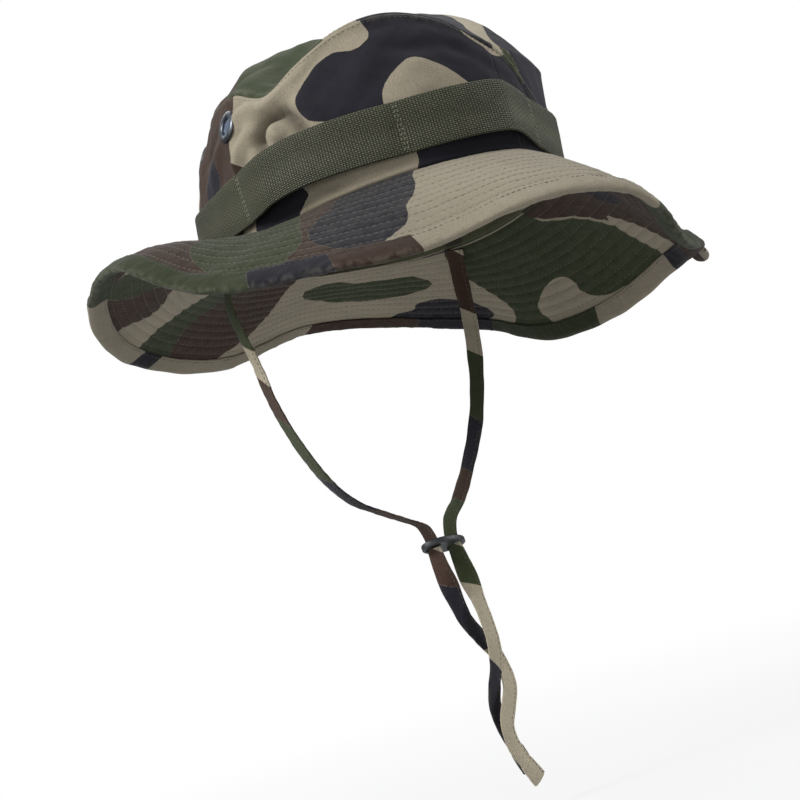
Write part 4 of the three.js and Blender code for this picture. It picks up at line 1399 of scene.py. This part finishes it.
def bar_tack(name, side, material):
    """Dense zigzag of thread that holds the strap inside the sweatband."""
    height = wall_height(side * ANCHOR_ANGLE)
    rows = []
    for share in np.linspace(ANCHOR_SHARES[0], ANCHOR_SHARES[1], 5):
        angle = np.linspace(ANCHOR_ANGLE - 3.1, ANCHOR_ANGLE + 3.1, 40) * side
        zigzag = share + 0.5 / height * np.sin(np.arange(40) * 1.4)
        inward = -wall_normals(angle, zigzag)
        rows.append((wall(angle, zigzag) + inward * 2.95, inward))
    return stitches(name, rows, material, 1.3, 0.9, 0.6)


# ---------------------------------------------------------------- assembly
def inner_tape(name, shares, height, thick, material):
    """A tape sewn round the inside of the crown wall."""
    angle = np.linspace(-180, 180, 360, endpoint=False)[:, None]
    share = np.linspace(shares[0], shares[1], 16)[None]
    angle, share = pair(angle, share)
    base = wall(angle, share)
    n = wall_normals(angle, np.clip(share, 0.01, 0.985))
    wave = 0.25 * ripples(base, 19, 61)
    edges = np.sin(np.pi * (share - shares[0]) / (shares[1] - shares[0])) ** 0.3
    return cloth_sheet(name, base + n * (height + wave * edges)[..., None], material, thick, True)


def inner_row(share, height):
    angle = np.linspace(-180, 180, 720)
    n = wall_normals(angle, share)
    return wall(angle, share) + n * height, -n


def build():
    make_camera()
    make_studio()
    make_floor()
    # One camouflage print in lit and shaded copies: the number given to a part scales its colour as
    # painted light or shade there
    wall_cloth = camouflage_cloth("crown_wall_camouflage")
    panel_cloth = camouflage_cloth("crown_top_camouflage", 1.12)
    brim_cloth_top = camouflage_cloth("brim_camouflage", 0.82)
    brim_cloth_under = camouflage_cloth("brim_under_camouflage")
    binding_cloth = camouflage_cloth("binding_camouflage", 0.84, 0.0007)
    strap_cloth = camouflage_cloth("strap_camouflage", 1.4, 0.0007)
    lining = plain_cloth("lining_cotton", LINING)
    stiffener = plain_cloth("interlining_canvas", paint(120, 116, 96))
    thread = thread_finish("olive_thread", THREAD)
    dark_thread = thread_finish("dark_thread", paint(70, 68, 56))
    tack_thread = thread_finish("tack_thread", paint(128, 130, 110))
    ring_metal = metal_finish("vent_dark_metal", paint(70, 74, 80), 0.36)
    screen_metal = metal_finish("vent_screen_metal", paint(112, 124, 142), 0.42)

    # Strap and slider
    slider = make_slider(plastic_finish())
    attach(slider, "slider")
    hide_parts("strap_slider")
    strands = [("strap_right", RIGHT_STRAND, (0.35, 1, 0), (0, 1, 0.2), 1, False, "strap_strand_right"),
               ("strap_left", LEFT_STRAND, (-0.35, 1, 0), (0, 1, 0.2), 1, False, "strap_strand_left"),
               ("tail_right", RIGHT_TAIL, (0, 1, 0), (-1, -0.1, 0), 0.3, True, "strap_tail_right"),
               ("tail_left", LEFT_TAIL, (0, 1, 0), (-1, -0.1, 0), 0.3, True, "strap_tail_left")]
    for name, route, width_from, width_to, turn_share, hem, node in strands:
        piece, rows, path, length = tape(name, route, width_from, width_to, turn_share, strap_cloth,
                                         STRAP_STRETCHES[name], hem)
        seams = stitches(name + "_thread", rows, thread, 2.6, 0.7, 0.28)
        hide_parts(node)
        for part, slot in ((piece, "strap_cloth"), (seams, "thread")):
            if hem:
                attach(part, "chin_strap")
                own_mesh(part)
            else:
                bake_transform(part)

    # Crown
    vents = vent_frames()
    right = wall_half("crown_wall_right", 0.01, 179.99, wall_cloth, [v[0] for v in vents[:2]])
    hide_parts("crown_side_right")
    left = wall_half("crown_wall_left", -179.99, -0.01, wall_cloth, [v[0] for v in vents[2:]])
    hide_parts("crown_side_left")
    top = make_crown_top(panel_cloth)
    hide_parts("crown_top")
    seam_tape = inner_tape("crown_seam_binding", (0.9, 0.965), -1.4, 0.5, lining)
    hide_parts("crown_seam_tape")
    sweat = inner_tape("sweatband_cloth", (0.012, 0.3), -1.6, 0.8, lining)
    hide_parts("sweatband")
    seam_rows = [seam_row(1.6, False), seam_row(1.9, True)]
    crown_thread = stitches("crown_seam_thread", seam_rows, dark_thread, 2.5, 0.7, 0.32)
    sweat_rows = [inner_row(0.27, -2.05), inner_row(0.04, -2.05)]
    sweat_thread = stitches("sweatband_thread", sweat_rows, thread, 3, 0.7)
    hat = [(right, "camouflage_cloth"), (left, "camouflage_cloth"), (top, "camouflage_cloth"),
           (seam_tape, "lining_cloth"), (sweat, "lining_cloth"), (crown_thread, "thread"),
           (sweat_thread, "thread")]

    # Brim
    upper = brim_cloth("brim_cloth_upper", 1, brim_cloth_top, BRIM_TOP_BLOTCHES)
    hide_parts("brim_upper")
    lower = brim_cloth("brim_cloth_lower", -1, brim_cloth_under, BRIM_UNDER_BLOTCHES)
    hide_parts("brim_lower")
    angles = np.linspace(-180, 180, 240, endpoint=False)[:, None]
    middle = pair(angles, np.linspace(2, BRIM_WIDTH - 2, 30)[None])
    core = brim(*middle)
    core = core + brim_normals(*middle) * brim_waves(core)[..., None]
    interlining = cloth_sheet("brim_interlining_canvas", core, stiffener, 0.25, True)
    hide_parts("brim_interlining")
    binding = make_binding(binding_cloth)
    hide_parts("brim_binding")
    lap = make_binding_lap(binding_cloth)
    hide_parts("binding_lap")
    quilting_top = stitches("brim_quilting_upper", brim_rows(1), thread, STITCH_PITCH, 0.78, 0.31)
    quilting_under = stitches("brim_quilting_lower", brim_rows(-1), thread, STITCH_PITCH, 0.78, 0.31)
    edge_rows = [binding_row(1, 1.6), binding_row(-1, 1.6)]
    edging = stitches("binding_thread", edge_rows, dark_thread, 2.6, 0.7, 0.34)
    hat += [(upper, "brim_cloth"), (lower, "brim_cloth"), (interlining, "interlining"),
            (binding, "binding_cloth"), (lap, "binding_cloth"), (quilting_top, "thread"),
            (quilting_under, "thread"), (edging, "thread")]

    # Foliage band, vents and anchors
    band = make_band(webbing_cloth())
    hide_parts("foliage_band")
    hat.append((band, "band_webbing"))
    fixed = make_tacks(tack_thread) + make_vents(ring_metal, screen_metal)
    for name, side in (("strap_anchor_right", 1), ("strap_anchor_left", -1)):
        tack = bar_tack(name.replace("strap_anchor", "anchor_thread"), side, dark_thread)
        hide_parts(name)
        hat.append((tack, "thread"))
    for piece, slot in hat:
        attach(piece, "hat")
    for piece in fixed:
        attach(piece, "hat")


build()
